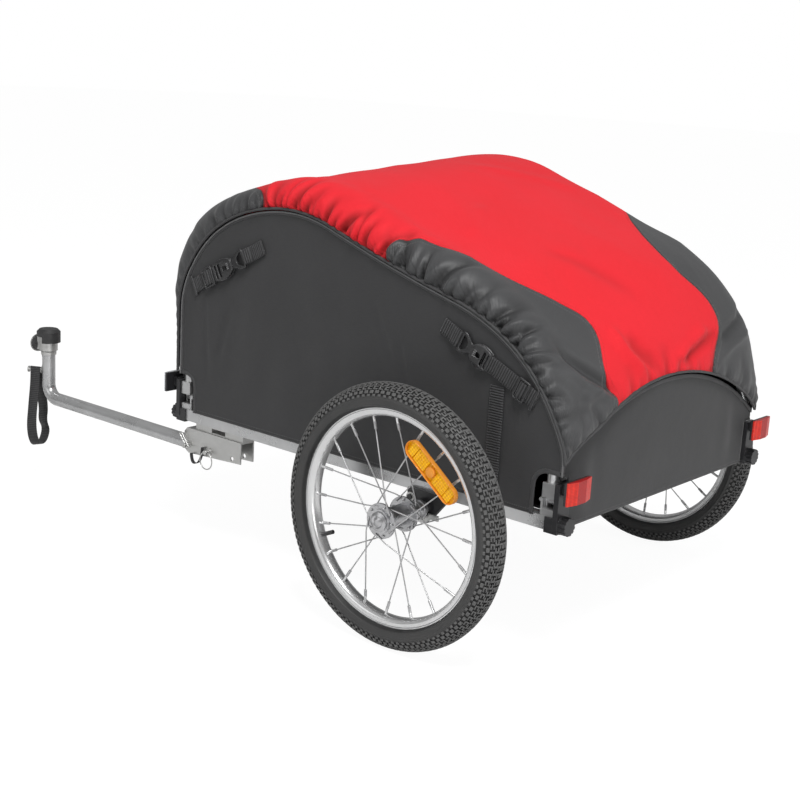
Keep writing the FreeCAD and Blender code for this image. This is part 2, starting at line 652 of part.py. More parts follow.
def stub_axle():
    """A push-in axle: chrome head and button outboard, ridged collar inboard of the hub."""
    shaft, head = "(axle_diameter / 2)", "(axle_head_diameter / 2)"
    collar, groove = "(axle_collar_diameter / 2)", "axle_collar_groove"
    end = f"({WHEEL_SIDE} + {HUB_END} + piece_gap)"
    inner = "(frame_width / 2 - rail_size - channel_wall * 2)"
    low = "(receiver_end + lever_thickness + piece_gap * 3)"
    high = f"({WHEEL_SIDE} - {HUB_END} - piece_gap)"
    pitch = f"(({high} - {low}) / {RIDGES})"
    ridges = []
    for step in range(RIDGES):
        radius = collar if step % 2 == 0 else f"({collar} - {groove})"
        ridges.append((radius, f"{low} + {pitch} * {step}"))
        ridges.append((radius, f"{low} + {pitch} * {step + 1}"))
    outline = [(0, inner), (shaft, inner), (shaft, low), *ridges, (shaft, high), (shaft, end),
               (head, end), (head, f"{end} + axle_head_length / 2"),
               ("axle_button / 2 + axle_head_length / 2", f"{end} + axle_head_length"),
               ("axle_button / 2", f"{end} + axle_head_length * {BUTTON_SHARE}"),
               ("axle_button / 4", f"{end} + axle_head_length"),
               (0, f"{end} + axle_head_length")]
    left_and_right("stub_axle", turned("stub_axle", outline, z=AXLE_HEIGHT, along="y"))


def axle_receivers():
    """A tube under each rail that the stub axle pushes into, welded to a bolted plate."""
    inner = "frame_width / 2 - rail_size - channel_wall * 2"
    tube = cylinder("receiver_tube", "receiver_diameter / 2", f"receiver_end - ({inner})",
                    y=inner, z=AXLE_HEIGHT, along="y")
    plate = box("receiver_plate", "receiver_plate_length", "rail_size",
                "receiver_plate_thickness", "-receiver_plate_length / 2",
                "frame_width / 2 - rail_size", "rail_height - receiver_plate_thickness")
    web = box("receiver_web", "receiver_web", "rail_size",
              f"rail_height - receiver_plate_thickness - {AXLE_HEIGHT}",
              "-receiver_web / 2", "frame_width / 2 - rail_size", AXLE_HEIGHT)
    bore = cylinder("receiver_bore", "axle_diameter / 2 + running_clearance", "receiver_end",
                    y=0, z=AXLE_HEIGHT, along="y")
    holes = [cylinder(f"receiver_hole_{end}", "bolt_diameter / 2 + running_clearance",
                      "receiver_plate_thickness", x=f"{end} * receiver_bolt_spacing / 2",
                      y=RAIL_SIDE, z="rail_height - receiver_plate_thickness")
             for end in (-1, 1)]
    left = cut("receiver", fuse("receiver_body", tube, plate, web), bore, *holes)
    node("axle_receivers", both_sides("receivers", left))


LEVER_FACE = "(frame_width / 2 + cover_plate_thickness + piece_gap)"


def receiver_covers():
    """The moulded outer cheek of each receiver, with the lever's pivot boss."""
    low = f"({AXLE_HEIGHT} - cover_plate_foot)"
    top = "(rail_height + cover_plate_lap)"
    outline = [("-cover_plate_rear", top), ("-cover_plate_rear", f"{top} - cover_plate_top / 2"),
               ("-cover_plate_foot", low), ("cover_plate_foot", low),
               ("cover_plate_front", f"{top} - cover_plate_top / 2"), ("cover_plate_front", top)]
    hole = (0, AXLE_HEIGHT, "receiver_diameter / 2 + piece_gap")
    cheek = pad("cheek", "XZ_Plane", outline, "cover_plate_thickness",
                y="frame_width / 2 + cover_plate_thickness", holes=[hole])
    round_edges(cheek, "cover_plate_round", is_across)
    boss = cylinder("lever_boss", "lever_pivot / 2", "lever_thickness + piece_gap * 2",
                    x="lever_pivot_forward", y="frame_width / 2 + cover_plate_thickness",
                    z=f"{AXLE_HEIGHT} + lever_pivot_rise", along="y")
    cap = cylinder("lever_cap", f"lever_pivot * {LEVER_CAP_SHARE}", "lever_pivot / 3", x="lever_pivot_forward",
                   y=f"{LEVER_FACE} + lever_thickness + piece_gap",
                   z=f"{AXLE_HEIGHT} + lever_pivot_rise", along="y")
    node("receiver_covers", both_sides("cheeks", fuse("cheek_whole", cheek, boss, cap)))


def is_across(edge):
    """True for a straight edge that runs across the plate's thickness, its local Y."""
    line = edge.Curve
    return line.TypeId == "Part::GeomLine" and abs(line.Direction.y) > 0.99


def release_lever():
    """A sprung lever curved under the receiver tube, pivoted ahead of it."""
    inner = "(receiver_diameter / 2 + lever_gap)"
    ring = cylinder("lever_ring", f"{inner} + lever_width", "lever_thickness", y=LEVER_FACE,
                    z=AXLE_HEIGHT, along="y", sweep=LEVER_SWEEP, start=LEVER_START)
    gap = cylinder("lever_ring_gap", inner, "lever_thickness", y=LEVER_FACE, z=AXLE_HEIGHT,
                   along="y")
    eye = cylinder("lever_eye", f"lever_pivot * {LEVER_EYE_SHARE}", "lever_thickness", x="lever_pivot_forward",
                   y=LEVER_FACE, z=f"{AXLE_HEIGHT} + lever_pivot_rise", along="y")
    hole = cylinder("lever_hole", "lever_pivot / 2 + running_clearance", "lever_thickness",
                    x="lever_pivot_forward", y=LEVER_FACE,
                    z=f"{AXLE_HEIGHT} + lever_pivot_rise", along="y")
    tail = box("lever_tail", "lever_tail", "lever_thickness", "lever_width",
               f"-{inner} - lever_width * {LEVER_TAIL_BACK_SHARE} - lever_tail / 2", LEVER_FACE,
               f"{AXLE_HEIGHT} - lever_width * {LEVER_TAIL_DROP_SHARE}")
    arm = cut("lever_arm", ring, gap)
    left_and_right("release_lever", cut("lever", fuse("lever_body", arm, eye, tail), hole))


# Base frame

def bracket_bolt_spots():
    return ["pivot_reach + bracket_bolt_front", "pivot_reach - bracket_bolt_rear"]


def receiver_bolt_spots():
    return ["-receiver_bolt_spacing / 2", "receiver_bolt_spacing / 2"]


def bolt_hole(name, reach, side):
    return cylinder(name, "bolt_diameter / 2 + running_clearance", "rail_wall * 2", x=reach,
                    y=side, z="rail_height")


def square_tube(name, length, x, y, z, along):
    """A hollow square tube along X or Y from its low corner."""
    inner = "(rail_size - 2 * rail_wall)"
    if along == "x":
        solid = box(name + "_solid", length, "rail_size", "rail_size", x, y, z)
        hollow = box(name + "_hollow", length, inner, inner, x, f"{y} + rail_wall",
                     f"{z} + rail_wall")
    else:
        solid = box(name + "_solid", "rail_size", length, "rail_size", x, y, z)
        hollow = box(name + "_hollow", inner, length, inner, f"{x} + rail_wall", y,
                     f"{z} + rail_wall")
    return solid, hollow


def side_rails():
    """The long square tubes, holed for the bolts of the receivers and the bracket."""
    inside = "(frame_width / 2 - rail_size)"
    for label, low in (("side_rail_left", inside), ("side_rail_right", "(-frame_width / 2)")):
        solid, hollow = square_tube(label, "front_reach + rear_reach", "-rear_reach", low,
                                    "rail_height", "x")
        spots = receiver_bolt_spots()
        if label.endswith("left"):
            spots = spots + bracket_bolt_spots()
        sides = {"receiver": f"{low} + rail_size / 2", "bracket": BAR_SIDE}
        holes = [bolt_hole(f"{label}_hole_{number}", spot,
                           sides["receiver" if number < 2 else "bracket"])
                 for number, spot in enumerate(spots)]
        node(label, cut(label, solid, hollow, *holes))


def cross_tubes():
    width = "frame_width - 2 * rail_size"
    low = "-frame_width / 2 + rail_size"
    for label, reach in (("front_cross_tube", "front_reach - rail_size"),
                         ("rear_cross_tube", "-rear_reach"), ("axle_cross_tube", "-rail_size / 2")):
        node(label, cut(label, *square_tube(label, width, reach, low, "rail_height", "y")))


def floor_board():
    board = box("board", "front_reach + rear_reach - 2 * board_inset",
                "frame_width - 2 * rail_size - 2 * board_inset", "board_thickness",
                "-rear_reach + board_inset", "-frame_width / 2 + rail_size + board_inset", RAIL_TOP)
    node("floor_board", board)


def frame_bolts():
    """The hexagon-headed bolts that hold the receivers and the tow bracket to the rails."""
    bolts = []
    under_plate = "rail_height - receiver_plate_thickness"
    under_web = f"{CHANNEL_TOP} - channel_wall"
    spots = [(x, y, under_plate) for x in receiver_bolt_spots()
             for y in (RAIL_SIDE, f"-{RAIL_SIDE}")]
    spots += [(x, BAR_SIDE, under_web) for x in bracket_bolt_spots()]
    for number, (x, y, face) in enumerate(spots):
        head = doc.addObject("Part::Prism", f"bolt_head_{number}")
        head.Polygon = 6
        head.setExpression("Circumradius", bound("bolt_head / 2"))
        head.setExpression("Height", bound("bolt_head_height"))
        place(head, x, y, f"{face} - bolt_head_height")
        shank = cylinder(f"bolt_shank_{number}", "bolt_diameter / 2",
                         f"rail_height + rail_wall * 2 - ({face})", x, y, face)
        bolts.append(fuse(f"bolt_{number}", head, shank))
    node("frame_bolts", group("bolts", *bolts))


# Corner hinges, bumpers and reflectors

def corners():
    """Each corner's name, the reach of its post and which way is outwards."""
    return (("front", POST_FRONT, 1), ("rear", POST_REAR, -1))


def hinge_bases():
    """A stub on each rail end with two ears for the arch's tongue, and a hook beside it."""
    stubs = []
    ear = "((rail_size - tongue_width) / 2 - piece_gap)"
    for name, reach, way in corners():
        base = box(f"stub_{name}", "rail_size", "rail_size", "stub_height",
                   f"{reach} - rail_size / 2", "frame_width / 2 - rail_size", RAIL_TOP)
        parts = [base]
        for end, low in enumerate((f"{reach} - rail_size / 2", f"{reach} + rail_size / 2 - {ear}")):
            parts.append(box(f"ear_{name}_{end}", ear, "rail_size / 2",
                             "hinge_rise - stub_height", low, "frame_width / 2 - rail_size",
                             f"{RAIL_TOP} + stub_height"))
            parts.append(cylinder(f"ear_{name}_{end}_top", "hinge_radius", ear, low,
                                  HINGE_SIDE, HINGE_HEIGHT, "x"))
        inboard = f"{reach} - {way} * (rail_size / 2 + hook_thickness / 2)"
        parts.append(box(f"hook_{name}", "hook_thickness", "hook_width", "hook_height",
                         f"{inboard} - hook_thickness / 2", f"{HINGE_SIDE} + hinge_radius",
                         RAIL_TOP))
        parts.append(cylinder(f"hook_lip_{name}", "hook_thickness", "hook_width",
                              f"{inboard} - {way} * hook_thickness / 2",
                              f"{HINGE_SIDE} + hinge_radius",
                              f"{RAIL_TOP} + hook_height", "y"))
        bore = cylinder(f"ear_bore_{name}", "hinge_pin / 2 + running_clearance",
                        "rail_size * 2", f"{reach} - rail_size", HINGE_SIDE, HINGE_HEIGHT, "x")
        stubs.append(cut(f"hinge_base_{name}", fuse(f"hinge_base_{name}_body", *parts), bore))
    node("hinge_bases", both_sides("hinge_bases", group("hinge_bases_left", *stubs)))


def hinge_pins():
    pins = []
    for name, reach, _ in corners():
        half = "(rail_size / 2 + piece_gap)"
        shank = cylinder(f"hinge_pin_{name}", "hinge_pin / 2", f"2 * {half}",
                         f"{reach} - {half}", HINGE_SIDE, HINGE_HEIGHT, "x")
        heads = [cylinder(f"hinge_pin_head_{name}_{end}", "hinge_pin_head / 2",
                          "hook_thickness / 2", low, HINGE_SIDE, HINGE_HEIGHT, "x")
                 for end, low in enumerate((f"{reach} - {half} - hook_thickness / 2",
                                            f"{reach} + {half}"))]
        pins.append(fuse(f"hinge_pin_{name}_whole", shank, *heads))
    node("hinge_pins", both_sides("hinge_pins", group("hinge_pins_left", *pins)))


def corner_bumpers():
    """A black strip on each rail end, with a plug in the tube and a round ribbed cap."""
    parts = []
    middle = "(rail_height + rail_size / 2)"
    plug = "(rail_size - 2 * rail_wall - 2 * piece_gap)"
    for name, reach, way in (("front", "front_reach", 1), ("rear", "rear_reach", -1)):
        def span(near, length):
            """The low X of a piece that starts near mm beyond the rail's end."""
            low = f"{reach} + ({near})"
            return low if way > 0 else f"-({low}) - ({length})"
        strip = box(f"strip_{name}", "bumper_thickness", "bumper_width", "bumper_height",
                    span("bumper_gap", "bumper_thickness"), f"{RAIL_SIDE} - bumper_width / 2",
                    middle)
        foot = cylinder(f"strip_foot_{name}", "bumper_width / 2", "bumper_thickness",
                        span("bumper_gap", "bumper_thickness"), RAIL_SIDE, middle, "x")
        cap = cylinder(f"cap_{name}", "bumper_cap / 2", "bumper_cap_length",
                       span("bumper_gap + bumper_thickness", "bumper_cap_length"), RAIL_SIDE,
                       middle, "x")
        ribs = []
        for turn in range(CAP_RIBS):
            angle = 2 * math.pi * turn / CAP_RIBS
            ribs.append(cylinder(
                f"rib_{name}_{turn}", "rail_wall", "bumper_cap_length + overrun",
                span("bumper_gap + bumper_thickness + fabric", "bumper_cap_length + overrun"),
                f"{RAIL_SIDE} + bumper_cap / 2 * {math.cos(angle):.6f}",
                f"{middle} + bumper_cap / 2 * {math.sin(angle):.6f}", "x"))
        peg = box(f"peg_{name}", "plug_length + bumper_gap", plug, plug,
                  span("-plug_length", "plug_length + bumper_gap"), f"{RAIL_SIDE} - {plug} / 2",
                  f"{middle} - {plug} / 2")
        arm = box(f"reflector_arm_{name}", "reflector_standoff", "bumper_width / 2",
                  "reflector_height / 2", span("bumper_gap + bumper_thickness",
                                               "reflector_standoff"),
                  f"{RAIL_SIDE} - bumper_width / 4", "reflector_rise - reflector_height / 4")
        ribbed = cut(f"cap_ribbed_{name}", cap, *ribs)
        wrap = "bumper_wrap + bumper_gap + bumper_thickness"
        cheek = box(f"cheek_{name}", wrap, "bumper_cheek", "rail_size + bumper_cheek",
                    span("-bumper_wrap", wrap), "frame_width / 2 + piece_gap",
                    "rail_height - bumper_cheek")
        sole = box(f"sole_{name}", wrap, "rail_size + bumper_cheek", "bumper_cheek - piece_gap",
                   span("-bumper_wrap", wrap), "frame_width / 2 - rail_size + piece_gap",
                   "rail_height - bumper_cheek")
        parts.append(fuse(f"bumper_{name}", strip, foot, ribbed, peg, arm, cheek, sole))
    node("corner_bumpers", both_sides("bumpers", group("bumpers_left", *parts)))


def reflectors():
    """A housing on each bumper's arm and a lens of three facets in it."""
    middle = f"({RAIL_SIDE} - reflector_inset)"
    half = "(reflector_width / 2)"
    housings = []
    for name, reach, way in (("front", "front_reach", 1), ("rear", "rear_reach", -1)):
        near = f"({reach} + {REFLECTOR_BACK})"
        low = near if way > 0 else f"-{near} - reflector_housing"
        housings.append(box(f"housing_{name}", "reflector_housing", "reflector_width",
                            "reflector_height", low, f"{middle} - {half}",
                            "reflector_rise - reflector_height / 2"))
        back, depth = "reflector_housing", "reflector_depth"
        facet = f"({half} * {FACET_SHARE})"
        side = f"({depth} * {LENS_BACK_SHARE})"
        outline = [(f"{way} * {back}", f"-{half}"), (f"{way} * ({back} + {side})", f"-{half}"),
                   (f"{way} * ({back} + {depth})", f"-{facet}"),
                   (f"{way} * ({back} + {depth})", facet),
                   (f"{way} * ({back} + {side})", half), (f"{way} * {back}", half)]
        lens = pad(f"lens_{name}", "XY_Plane", outline, "reflector_height", f"{way} * {near}",
                   middle, "reflector_rise - reflector_height / 2")
        node(f"{name}_reflectors", both_sides(f"{name}_lenses", lens))
    node("reflector_housings", both_sides("housings", group("housings_left", *housings)))


# Tow bar, bracket and pins

def tow_bracket():
    """A channel open downwards, with three pin holes through both flanges."""
    rear = "(pivot_reach - pin_spacing - channel_rear)"
    front = "(pivot_reach + pin_spacing + channel_front)"
    outline = [(rear, CHANNEL_TOP), (rear, f"{BAR_HEIGHT} - channel_foot"),
               (f"{front} - channel_chamfer * {TOE_SHARE}", f"{BAR_HEIGHT} - channel_toe"),
               (front, f"{BAR_HEIGHT} - channel_toe + channel_chamfer"),
               (front, f"{CHANNEL_TOP} - channel_chamfer"),
               (f"{front} - channel_chamfer", CHANNEL_TOP)]
    width = "channel_inside + 2 * channel_wall"
    block = pad("channel_block", "XZ_Plane", outline, width,
                y=f"{BAR_SIDE} + channel_inside / 2 + channel_wall")
    hollow = box("channel_hollow", f"{front} - {rear} + 2 * overrun", "channel_inside",
                 "channel_top * 2", f"{rear} - overrun", f"{BAR_SIDE} - channel_inside / 2",
                 f"{CHANNEL_TOP} - channel_wall - channel_top * 2")
    holes = [cylinder(f"channel_pin_hole_{place_name}", "pin_diameter / 2 + running_clearance",
                      width, f"pivot_reach + {step} * pin_spacing",
                      f"{BAR_SIDE} - channel_inside / 2 - channel_wall", BAR_HEIGHT, "y")
             for place_name, step in (("lock", 1), ("pivot", 0), ("stow", -1))]
    bolts = [cylinder(f"channel_bolt_hole_{n}", "bolt_diameter / 2 + running_clearance",
                      "channel_wall * 3", x, BAR_SIDE, f"{CHANNEL_TOP} - channel_wall * 2")
             for n, x in enumerate(bracket_bolt_spots())]
    node("tow_bracket", cut("tow_bracket", block, hollow, *holes, *bolts))


def bracket_spacer():
    """The block between channel and rail, with a window right through it."""
    height = f"(rail_height - {CHANNEL_TOP})"
    low = "(pivot_reach - spacer_rear)"
    block = box("spacer_block", "spacer_rear + spacer_front", "spacer_width", height, low,
                f"{BAR_SIDE} - spacer_width / 2", CHANNEL_TOP)
    window = box("spacer_window", "spacer_window", "spacer_width", "spacer_window_height",
                 "pivot_reach - spacer_window", f"{BAR_SIDE} - spacer_width / 2",
                 f"{CHANNEL_TOP} + ({height} - spacer_window_height) / 2")
    holes = [cylinder(f"spacer_hole_{n}", "bolt_diameter / 2 + running_clearance", height, x,
                      BAR_SIDE, CHANNEL_TOP) for n, x in enumerate(bracket_bolt_spots())]
    node("bracket_spacer", cut("bracket_spacer", block, window, *holes))


def tow_bar():
    """A bent round tube: pivot hole and lock notch at its root, riser at its front."""
    body = doc.addObject("PartDesign::Body", "bar")
    path = sketch_on(body, "XZ_Plane", "bar_path")
    length, bend = "(bar_tail + bar_length)", "bar_bend"
    corners_xy = [(0, 0), (f"{length} - {bend}", 0), (length, bend), (length, "bar_riser")]
    points = [Vector(value(x), value(y), 0) for x, y in corners_xy]
    centre = Vector(points[1].x, value(bend), 0)
    path.addGeometry(Part.LineSegment(points[0], points[1]))
    circle = Part.Circle(centre, Vector(0, 0, 1), value(bend))
    path.addGeometry(Part.ArcOfCircle(circle, -math.pi / 2, 0))
    path.addGeometry(Part.LineSegment(points[2], points[3]))
    for joint in ((0, 2, 1, 1), (1, 2, 2, 1)):
        path.addConstraint(Sketcher.Constraint("Coincident", *joint))
    for line, end, corner in ((0, 1, 0), (0, 2, 1), (2, 1, 2), (2, 2, 3)):
        tie(path, "DistanceX", -1, 1, line, end, corners_xy[corner][0])
        tie(path, "DistanceY", -1, 1, line, end, corners_xy[corner][1])
    tie(path, "Radius", 1, bend)
    profile = sketch_on(body, "YZ_Plane", "bar_profile")
    draw_circle(profile, 0, 0, "bar_diameter / 2")
    draw_circle(profile, 0, 0, "bar_diameter / 2 - bar_wall")
    pipe = body.newObject("PartDesign::AdditivePipe", "bar_pipe")
    pipe.Profile = (profile, [""])
    pipe.Spine = (path, ["Edge1", "Edge2", "Edge3"])
    place(body, "pivot_reach - bar_tail", BAR_SIDE, BAR_HEIGHT)
    hole = cylinder("bar_pivot_hole", "pin_diameter / 2 + running_clearance", "bar_diameter",
                    "pivot_reach", f"{BAR_SIDE} - bar_diameter / 2", BAR_HEIGHT, "y")
    lock = cylinder("bar_lock_hole", "pin_diameter / 2 + running_clearance * 2",
                    "bar_diameter", "pivot_reach + pin_spacing",
                    f"{BAR_SIDE} - bar_diameter / 2", BAR_HEIGHT, "y")
    notch = box("bar_lock_notch", "pin_diameter + running_clearance * 4 + notch_sweep",
                "bar_diameter", "bar_diameter",
                "pivot_reach + pin_spacing - pin_diameter / 2 - running_clearance * 2"
                " - notch_sweep", f"{BAR_SIDE} - bar_diameter / 2", BAR_HEIGHT)
    cross = cylinder("bar_strap_pin_hole", "pin_diameter / 2 + running_clearance",
                     "bar_diameter", RISER_REACH, BAR_SIDE, STRAP_PIN_HEIGHT)
    cross.Placement.Rotation = strap_pin_turn()
    node("tow_bar", cut("tow_bar", body, hole, lock, notch, cross))


def ring_pin():
    """The pivot pin, with a shoulder and a cross hole for its ring."""
    low = f"({BAR_SIDE} - channel_inside / 2 - channel_wall - pin_head_length)"
    face = f"({BAR_SIDE} + channel_inside / 2 + channel_wall + piece_gap)"
    shank = cylinder("ring_pin_shank", "pin_diameter / 2", f"{face} + pin_end - {low}",
                     "pivot_reach", low, BAR_HEIGHT, "y")
    shoulder = cylinder("ring_pin_shoulder", "pin_head / 2", "pin_head_length", "pivot_reach",
                        face, BAR_HEIGHT, "y")
    hole = cylinder("ring_pin_hole", "pin_cross_hole / 2", "pin_head",
                    "pivot_reach - pin_head / 2", f"{face} + pin_end / 2 + ring_wire",
                    BAR_HEIGHT, "x")
    node("ring_pin", cut("ring_pin", fuse("ring_pin_body", shank, shoulder), hole))
    ring = torus("pull_ring", "ring_radius", "ring_wire / 2", "pivot_reach",
                 f"{face} + pin_end / 2 + ring_wire", f"{BAR_HEIGHT} - ring_radius", "y")
    node("pull_ring", ring)


def pin_lanyard():
    """A narrow webbing loop that hangs from the pull ring and turns back up."""
    lift = upright(value(f"{BAR_SIDE} + channel_inside / 2 + channel_wall + piece_gap"))
    pin = Vector(value("pivot_reach"), value(BAR_HEIGHT))
    points = [pin + Vector(*spot) * value("ring_radius") for spot in LANYARD_SHARES]
    strap = band(points, value("lanyard_thickness"), lift,
                 Vector(0, value("lanyard_width"), 0))
    node("pin_lanyard", drawn("lanyard", strap))


def lock_pin():
    """The headed clevis pin at the bracket's front, cross-drilled for its hairpin clip."""
    low = f"({BAR_SIDE} - channel_inside / 2 - channel_wall - piece_gap - pin_head_length)"
    reach = "(pivot_reach + pin_spacing)"
    head = cylinder("lock_pin_head", "pin_head / 2", "pin_head_length", reach, low, BAR_HEIGHT,
                    "y")
    shank = cylinder("lock_pin_shank", "pin_diameter / 2", f"{clip_side()} + clip_wire * 2 - {low}",
                     reach, low, BAR_HEIGHT, "y")
    hole = drawn("lock_pin_hole", clip_leg("clip_wire / 2 + running_clearance", "pin_head",
                                           "-pin_head / 2"))
    node("lock_pin", cut("lock_pin", fuse("lock_pin_body", head, shank), hole))


def clip_side():
    return f"({BAR_SIDE} + channel_inside / 2 + channel_wall + clip_wire * 2.5)"


def clip_direction():
    angle = math.radians(value("clip_angle"))
    return Vector(math.cos(angle), 0, math.sin(angle))


def clip_leg(radius, length, start):
    middle = Vector(value("pivot_reach + pin_spacing"), value(clip_side()), value(BAR_HEIGHT))
    along = clip_direction()
    return Part.makeCylinder(value(radius), value(length), middle + along * value(start), along)


def hairpin_clip():
    """Two parallel legs, one through the lock pin and one beside it, joined by a loop."""
    wire = value("clip_wire / 2")
    apart = value("pin_diameter / 2 + clip_wire / 2 + piece_gap")
    leg = value("clip_leg")
    angle = value("clip_angle")
    middle = (value("pivot_reach + pin_spacing"), value(BAR_HEIGHT))
    heading = math.radians(angle)
    back = leg * CLIP_BACK_SHARE
    start = (middle[0] - back * math.cos(heading), middle[1] - back * math.sin(heading))
    stretches = walk(start, heading, ("run", leg + back), ("turn", apart / 2, 180),
                     ("run", leg + back))
    spine = Part.Wire(edges_of(stretches, upright(value(clip_side()))))
    first = spine.Edges[0]
    ring = Part.Wire(Part.makeCircle(wire, first.Vertexes[0].Point, clip_direction()))
    node("hairpin_clip", drawn("clip", spine.makePipeShell([ring], True, True)))


# Hitch

def hitch_collar():
    """The collar on the riser's top, with the spigot that the hitch head turns on."""
    low = f"({BAR_HEIGHT} + bar_riser - collar_overlap)"
    base = (RISER_REACH, BAR_SIDE)
    outer, bar = "collar_diameter / 2", "bar_diameter / 2"
    spigot = "spigot_diameter / 2"
    fit = f"({bar} + running_clearance)"
    outline = [(fit, 0), (outer, 0), (outer, "collar_height - fabric"),
               (f"{outer} - fabric", "collar_height"), (spigot, "collar_height"),
               (spigot, "collar_height + spigot_height"), (0, "collar_height + spigot_height"),
               (0, "collar_overlap + running_clearance"), (fit, "collar_overlap + running_clearance")]
    node("hitch_collar", turned("hitch_collar", outline, *base, low))


def hitch_head():
    """The swivelling barrel with a block in front that carries the coupling."""
    low = f"({COLLAR_TOP} + piece_gap)"
    barrel = cylinder("hitch_barrel", "hitch_diameter / 2", "hitch_height", RISER_REACH,
                      BAR_SIDE, low)
    block = box("hitch_block", "hitch_block", "hitch_block_width", "hitch_height", RISER_REACH,
                f"{BAR_SIDE} - hitch_block_width / 2", low)
    bore = cylinder("hitch_bore", "spigot_diameter / 2 + running_clearance", "hitch_height",
                    RISER_REACH, BAR_SIDE, low)
    seat = cylinder("hitch_seat", "sleeve_diameter / 2 + running_clearance", "hitch_block",
                    RISER_REACH, BAR_SIDE, HITCH_HEIGHT, "x")
    node("hitch_head", cut("hitch_head", fuse("hitch_solid", barrel, block), bore, seat))


def hitch_cap():
    """A round rubber cap on the head, with a skirt down its back."""
    low = f"({COLLAR_TOP} + piece_gap + hitch_height)"
    radius = "(cap_diameter / 2)"
    outline = [(0, "spigot_height - hitch_height"), (0, "cap_height"),
               (f"{radius} - cap_round", "cap_height"), (radius, "cap_height - cap_round"),
               (radius, 0), ("spigot_diameter / 2 + piece_gap", 0),
               ("spigot_diameter / 2 + piece_gap", "spigot_height - hitch_height")]
    dome = turned("cap_dome", outline, RISER_REACH, BAR_SIDE, low)
    skirt = cylinder("cap_skirt", radius, "cap_skirt", RISER_REACH, BAR_SIDE,
                     f"{low} - cap_skirt", sweep=SKIRT_SWEEP, start=SKIRT_START)
    inner = cylinder("cap_skirt_inner", "hitch_diameter / 2 + piece_gap", "cap_skirt",
                     RISER_REACH, BAR_SIDE, f"{low} - cap_skirt")
    node("hitch_cap", fuse("hitch_cap", dome, cut("cap_skirt_shell", skirt, inner)))


def coupling():
    """A rubber puck and a front plate whose sleeve takes the bike's 10 mm stud."""
    sleeve, bore = "sleeve_diameter / 2", "coupling_bore / 2"
    back = "spigot_diameter / 2 + fabric"
    puck = [(f"{sleeve} + running_clearance", 0), ("puck_diameter / 2", 0),
            ("puck_diameter / 2 - fabric", "puck_length / 2"),
            ("puck_diameter / 2", "puck_length"), (f"{sleeve} + running_clearance", "puck_length")]
    node("coupling_puck", turned("puck", puck, PUCK_START, BAR_SIDE, HITCH_HEIGHT, "x"))
    front = "hitch_block + piece_gap + puck_length"
    plate = [(bore, back), (sleeve, back), (sleeve, front), ("plate_diameter / 2", front),
             ("plate_diameter / 2", f"{front} + plate_thickness - rail_wall"),
             ("plate_diameter / 2 - rail_wall", f"{front} + plate_thickness"),
             (bore, f"{front} + plate_thickness")]
    node("coupling_plate", turned("plate", plate, RISER_REACH, BAR_SIDE, HITCH_HEIGHT, "x"))


def strap_pin_turn():
    """Turns +Z to the strap pin's line, forward and outward from the riser."""
    return Rotation(Vector(0, 0, 1), value("strap_pin_angle")).multiply(ALONG["x"])


def along_pin(distance, across=0, up=0):
    """A place by its distance along the strap pin, across it and up from it."""
    base = Vector(value(RISER_REACH), value(BAR_SIDE), value(STRAP_PIN_HEIGHT) + up)
    turn = Rotation(Vector(0, 0, 1), value("strap_pin_angle"))
    return base + turn.multVec(Vector(distance, across, 0))


def strap_pin():
    """The headed pin in the riser that the safety strap hangs over."""
    shank = cylinder("strap_pin_shank", "pin_diameter / 2", "strap_pin_reach", RISER_REACH,
                     BAR_SIDE, STRAP_PIN_HEIGHT)
    shank.Placement.Rotation = strap_pin_turn()
    foot = along_pin(value("strap_pin_reach"))
    head = drawn("strap_pin_head", Part.makeCylinder(value("pin_head / 2"),
                                                     value("pin_head_length"), foot,
                                                     foot - along_pin(0)))
    node("strap_pin", fuse("strap_pin", shank, head))


def safety_strap():
    """Webbing that drops from the hitch past its pin, loops under and comes back up."""
    near = value("bar_diameter / 2 + strap_gap")

    def lift(point):
        return along_pin(near, point.x, point.y)
    points = [Vector(*spot) * value("strap_drop") for spot in STRAP_SHARES]
    width = along_pin(near + value("strap_width")) - along_pin(near)
    strap = band(points, value("strap_thickness"), lift, width)
    node("safety_strap", drawn("strap", strap))


def pin_wire():
    """The wire that keeps the strap pin by the collar."""
    ring = value("pin_diameter / 2 + wire_diameter")
    wire = value("wire_diameter / 2")
    reach = value("bar_diameter / 2 + wire_diameter")
    axis = along_pin(reach) - along_pin(0)
    loop = Part.makeTorus(ring, wire, along_pin(reach), axis)
    points = [along_pin(reach, 0, ring), along_pin(reach, -ring, value("strap_pin_drop / 2")),
              along_pin(value("bar_diameter / 2 + wire_diameter"), 0,
                        value("strap_pin_drop - wire_diameter"))]
    parts = [Part.makeCylinder(wire, (b - a).Length, a, b - a)
             for a, b in zip(points, points[1:])]
    parts.append(Part.makeSphere(wire, points[1]))
    node("pin_wire", drawn("wire", loop.fuse(parts)))


# Side arches

